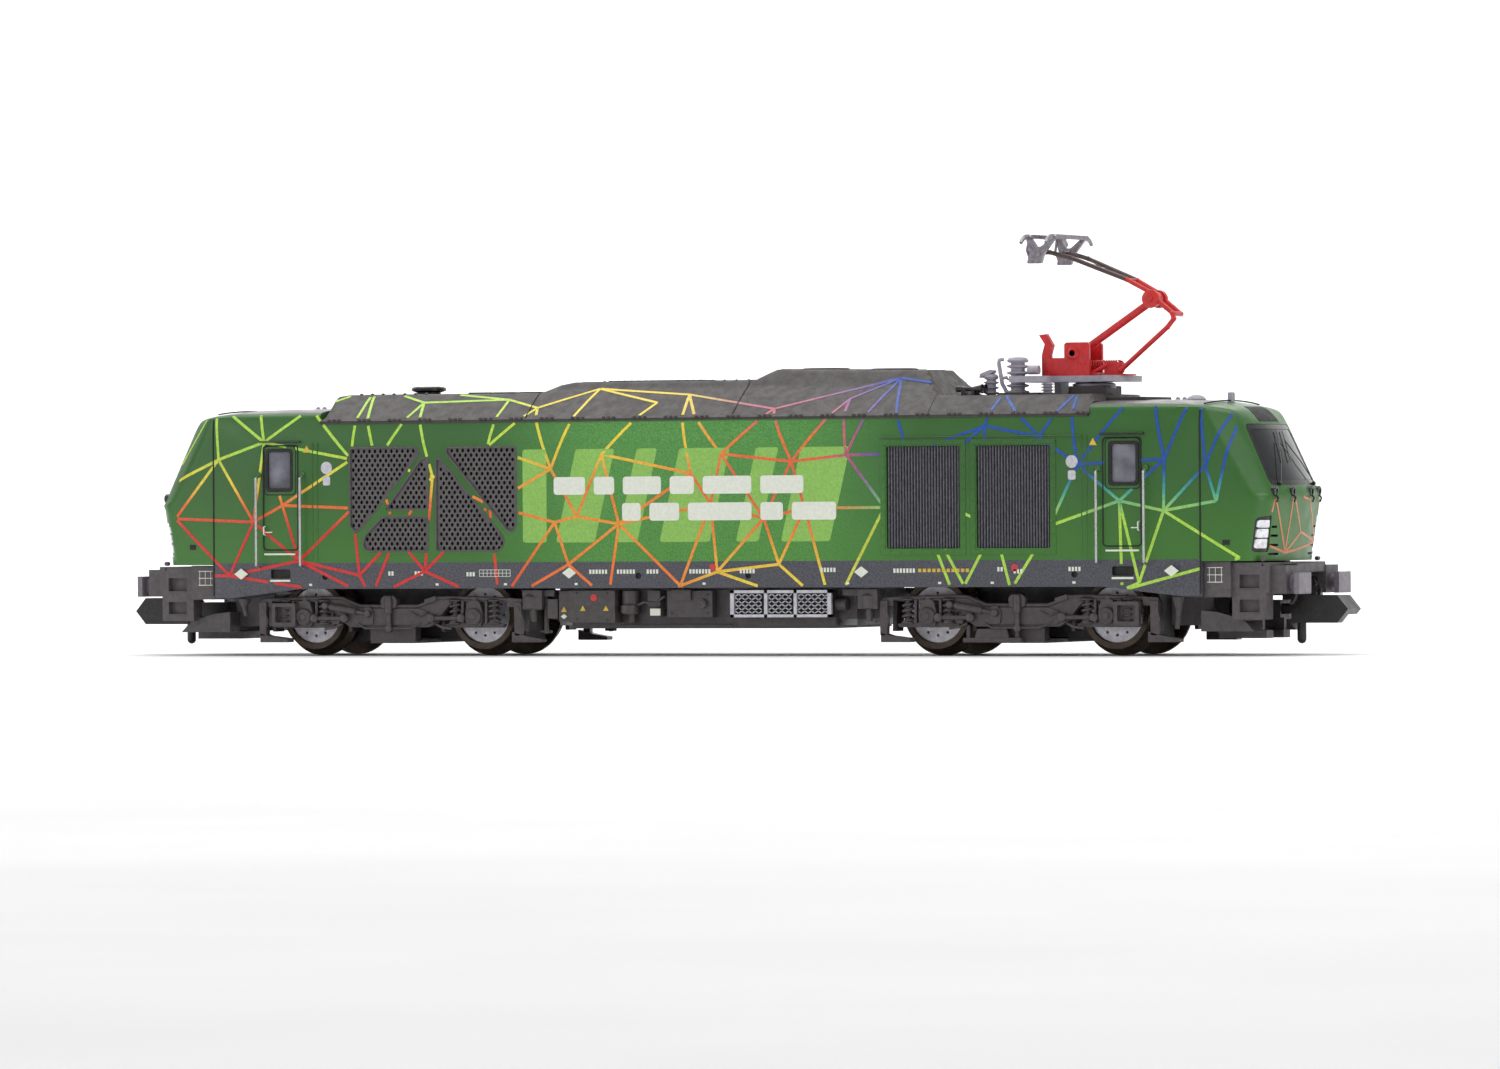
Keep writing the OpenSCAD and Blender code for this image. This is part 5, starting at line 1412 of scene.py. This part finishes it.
def build_ends():
    """Plates, brackets, plain marks and hoses at the buffer beams."""
    plates, marks, hoses = Shape(), Shape(), Shape()
    for side in (-1, 1):
        for z in (6.38, 4.08):
            plates.box((56.5, side * 7.35 - 0.4, z), (58.7, side * 7.35 + 0.4, z + 0.12))
        plates.box((48.3, side * 4.2 - 0.2, 2.9), (52.6, side * 4.2 + 0.2, 6.2))
        plates.prism([(52.2, 2.35), (57.7, 2.35), (56.6, 3.5), (54.0, 4.2), (52.2, 4.4)], "Y",
                     side * 4.6, side * 6.7)
        for z in (8.7, 9.25):
            plates.lathe([(0.22, -0.2), (0.22, 0.35), (0.1, 0.4)], (58.9, side * 7.3, z), (0, side, 0),
                         14)
        hoses.tube(smooth_path([(59.7, side * 3.0, 7.4), (60.5, side * 3.05, 7.2),
                                (60.8, side * 3.1, 6.4), (60.5, side * 3.15, 5.4),
                                (60.1, side * 3.1, 5.0)], 0.3), 0.2, 10)
        hoses.tube(smooth_path([(59.7, side * 2.2, 7.4), (60.4, side * 2.2, 7.3),
                                (60.7, side * 2.15, 6.7)], 0.3),
                   0.16, 10)
        hoses.lathe([(0.34, 0), (0.34, 0.3), (0.2, 0.45), (0, 0.45)], (59.6, side * 1.4, 7.6), (1, 0, 0),
                    18)
        for i in range(3):
            marks.box((53.6 + 0.62 * i, side * 8.1 - 0.04, 7.1),
                      (53.66 + 0.62 * i, side * 8.1 + 0.04, 8.5))
        for z in (7.05, 7.75, 8.45):
            marks.box((53.4, side * 8.1 - 0.04, z), (55.0, side * 8.1 + 0.04, z + 0.08))
    for shape, name, ink, slot_name in ((plates, "beam_fittings", "beam_plastic", "beam_plastic"),
                                        (marks, "beam_marks", "white_print", "beam_plastic"),
                                        (hoses, "brake_hoses", "roof_black", "beam_plastic")):
        finish(shape.mirrored("X"), name, ink, edge=0.03)


def build_underfloor():
    """Pipes, brackets and plates on the tank, and the louvred silver boxes."""
    parts, marks, louvres = Shape(), Shape(), Shape()
    for z, x0, x1 in ((6.75, -16, 16), (2.95, -8.6, 3.4)):
        parts.tube([(x, -7.75, z) for x in np.linspace(x0, x1, 6)], 0.13, 8)
    for x in (-18.0, 18.3):
        parts.lathe([(0.35, 0), (0.95, 0.25), (1.0, 1.4), (0.75, 1.7), (0, 1.75)], (x, -8.0, 4.45), UP,
                    20)
        parts.tube([(x, -8.0, 4.6), (x, -8.0, 3.4)], (0.36, 0.2), 10)
    parts.tube([(-16.68, -7.6, 6.2), (-16.68, -7.6, 2.2)], 0.24, 10)
    parts.tube([(-17.3, -7.6, 2.4), (-16.1, -7.6, 2.4)], 0.16, 8)
    for x, z in ((-12.9, 6.2), (-9.6, 6.2), (-12.9, 3.6), (-9.6, 3.6), (-2.9, 4.2), (0.9, 4.2),
                 (0.9, 6.0), (-2.9, 6.0)):
        parts.dome((x, -8.72 if x < -5 else -8.02, z), NEAR, 0.13, 0.1)
    parts.lathe([(0.85, 0), (0.9, 0.2), (0.85, 0.4), (0.9, 0.6), (0.85, 0.8), (0.5, 1.0), (0.5, 1.3),
                 (0, 1.3)],
                (-7.5, -7.9, 4.2), UP, 24)
    parts.tube(smooth_path([(-6.6, -8.0, 5.0), (-5.8, -8.2, 5.3), (-4.6, -8.2, 5.2), (-3.6, -8.1, 5.9)],
                           0.3), 0.14, 8)
    parts.lathe([(0.5, 0), (0.5, 0.3), (0.3, 0.42), (0.25, 0.42), (0, 0.3)], (0.42, -8.0, 5.14), NEAR, 20)
    for x in (-0.1, 0.5, 1.1):
        parts.lathe([(0.24, 0), (0.24, 0.5), (0.15, 0.6), (0, 0.6)], (x - 2.6, -7.9, 6.0), UP, 14)
    for sign, middle, foot in ((1, 4.3, 2.6), (-1, 4.9, 4.0)):
        nozzle = [(sign * 50.2, -7.4, 5.7), (sign * 50.2, -7.4, middle), (sign * 50.0, -7.4, foot)]
        parts.tube(nozzle, (0.7, 0.3, 0.24), 10)
    parts.mirrored("Y")
    marks.material = 1
    for x, z, front in ((-14.35, 4.6, -8.56), (-12.2, 4.7, -8.76), (-9.7, 4.7, -8.76)):
        marks.prism([(x - 0.3, z - 0.25), (x + 0.3, z - 0.25), (x, z + 0.28)], "Y", front, -8.4)
    marks.material = 0
    marks.prism(rectangle(-5.05, 3.98, -3.98, 4.66), "Y", -8.46, -8.3)
    marks.plate([(-14.7, 3.9), (-14.35, 3.65), (-14.0, 3.9), (-14.35, 4.15)], 0.05, "Y", -8.55, -8.4)
    marks.material = 2
    marks.prism(arc((-11.0, 5.75), 0.36, 0, 342, 18), "Y", -8.76, -8.4)
    marks.mirrored("Y")
    low, high = node_box("battery_box_grilles")
    face = high[1]
    # The plate behind the slats is near black: painted shade in the gaps between them.
    louvres.material = 1
    louvres.plate(rectangle(low[0], low[2], high[0], high[2]), 0.15, "Y", -face + 0.35, -7.92)
    louvres.material = 0
    edges = [low[0], low[0] + 0.4, 7.42, 7.76, 10.57, 10.9, high[0] - 0.4, high[0]]
    for a, b in zip(edges[::2], edges[1::2]):
        louvres.box((a, -face, low[2]), (b, -face + 0.5, high[2]))
    for z0, z1 in ((low[2], low[2] + 0.28), (high[2] - 0.3, high[2])):
        louvres.box((low[0], -face, z0), (high[0], -face + 0.5, z1))
    pitch_x, pitch_z, half_slat, half_t = 0.36, 0.33, 0.14, 0.05
    for a, b in zip(edges[1::2], edges[2::2]):
        for i, j in product(range(int((b - a) / pitch_x)), range(6)):
            x = a + 0.22 + pitch_x * i
            z = low[2] + 0.5 + pitch_z * j
            tilt = 0.09 if (i + j) % 2 else -0.09
            slat = [(x - half_slat, z - tilt - half_t), (x + half_slat, z + tilt - half_t),
                    (x + half_slat, z + tilt + half_t), (x - half_slat, z - tilt + half_t)]
            louvres.prism(slat, "Y", -face + 0.15, -face + 0.4)
    louvres.mirrored("Y")
    finish(parts, "underfloor_fittings", "underfloor_plastic", edge=0.03)
    marks = marks.object("underfloor_marks", ["white_print", "yellow_print", "red_print"])
    settle(marks, "body")
    louvres = louvres.object("battery_louvres", ["silver_print", "hole_shade"])
    settle(louvres, "body", ["battery_box_grilles"])


# ---------------------------------------------------------------- CAD nodes that stay

ROUNDED_NODES = {"buffer_beams": 0.1, "buffers": 0.18, "underfloor_tank": 0.1, "coupler_front": 0.12,
                 "coupler_rear": 0.12, "coupler_pocket_front": 0.1, "coupler_pocket_rear": 0.1,
                 "pantograph_base": 0.12, "pantograph_channel": 0.06}


def finish_cad_nodes():
    """Materials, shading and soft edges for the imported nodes, hidden ones included."""
    slots = {s["node"]: s["material_slot"] for s in frame["record"]["subparts"]}
    for name, obj in frame["nodes"].items():
        if name.startswith("wheels_"):
            material = wheel_paint(name, axle_x[int(name[-1])])
        else:
            material = MATERIALS["upper_arm" if name == "upper_arm" else slots[name]]
        obj.data.materials.clear()
        obj.data.materials.append(material)
        shade(obj, 30)
        if name in ROUNDED_NODES:
            bevel(obj, ROUNDED_NODES[name], 3, 35)


# ---------------------------------------------------------------- stage

def build_stage():
    """A pale sweep, soft lights and the camera; lengths of the stage are in metres."""
    back, depth, radius, wall_top, half_floor = 1.4, 1.6, 0.5, 1.8, 2.5
    profile = [(-depth, 0.0), (back - radius, 0.0)]
    profile += [(back - radius + radius * math.sin(a), radius - radius * math.cos(a))
                for a in np.linspace(0, math.pi / 2, 14)[1:]]
    profile.append((back, wall_top))
    azimuth = math.radians(24)
    away = np.array([-math.sin(azimuth), math.cos(azimuth), 0])
    side = np.array([math.cos(azimuth), math.sin(azimuth), 0])
    verts = [tuple(away * d + side * s + (0, 0, h)) for s in (-half_floor,
                                                              half_floor) for d, h in profile]
    n = len(profile)
    faces = [(i, i + 1, n + i + 1, n + i) for i in range(n - 1)]
    mesh = bpy.data.meshes.new("floor")
    mesh.from_pydata(verts, [], faces)
    floor = bpy.data.objects.new("floor", mesh)
    bpy.context.scene.collection.objects.link(floor)
    mesh.materials.append(plain("floor_paper", (0.88, 0.88, 0.88), 0.7, 0, 0.01, 0, 20))
    mesh.shade_smooth()

    def lamp(name, at, size, power, aim=(0, 0, 0.015)):
        data = bpy.data.lights.new(name, "AREA")
        data.shape = "RECTANGLE"
        data.size, data.size_y = size
        data.energy = power
        made = bpy.data.objects.new(name, data)
        made.location = at
        made.rotation_euler = (Vector(aim) - Vector(at)).to_track_quat("-Z", "Y").to_euler()
        bpy.context.scene.collection.objects.link(made)

    lamp("top_light", (0.0, 0.05, 0.7), (1.3, 0.7), 6.5)
    lamp("left_light", (-0.75, -0.75, 0.35), (0.5, 0.5), 1.5)
    lamp("right_light", (0.95, -0.45, 0.35), (0.5, 0.5), 2.0)
    lamp("wall_light", (-0.25, 0.75, 0.9), (1.6, 0.3), 11.0, (-0.55, 1.3, 0.3))
    world = bpy.data.worlds.new("studio")
    world.use_nodes = True
    background = world.node_tree.nodes["Background"].inputs
    background["Color"].default_value = (1, 1, 1, 1)
    background["Strength"].default_value = 0.42
    scene = bpy.context.scene
    scene.world = world
    scene.view_settings.view_transform = "Standard"
    distance, eye_z, focal_px, width_px, roll = 928.7, 14.6, 9398.3, 1500, 0.0067
    data = bpy.data.cameras.new("camera")
    data.sensor_width = 36.0
    data.lens = focal_px / width_px * data.sensor_width
    data.shift_x, data.shift_y = 0.0124, -0.0184
    camera = bpy.data.objects.new("camera", data)
    place = Vector((distance * math.sin(azimuth), -distance * math.cos(azimuth), eye_z)) * MM
    swing, lift, roll = (Matrix.Rotation(angle, 4, axis) for angle, axis in
                         ((azimuth, "Z"), (math.pi / 2, "X"), (-roll, "Z")))
    camera.matrix_world = Matrix.Translation(place) @ (swing @ lift @ roll)
    scene.collection.objects.link(camera)
    scene.camera = camera


for build in (build_stage, build_body, build_grooves, build_windscreens, build_headlamps,
              build_door_windows, build_mesh_grilles, build_radiators, build_body_trim,
              build_nose_details, build_roof, build_deck_pedestal, build_insulators, build_horns,
              build_pantograph_frame, build_collector_head, build_knee):
    build()
for bogie_end in ("front", "rear"):
    build_bogie(bogie_end)
for build in (build_lines, build_blocks, build_marks, build_ends, build_underfloor, finish_cad_nodes):
    build()
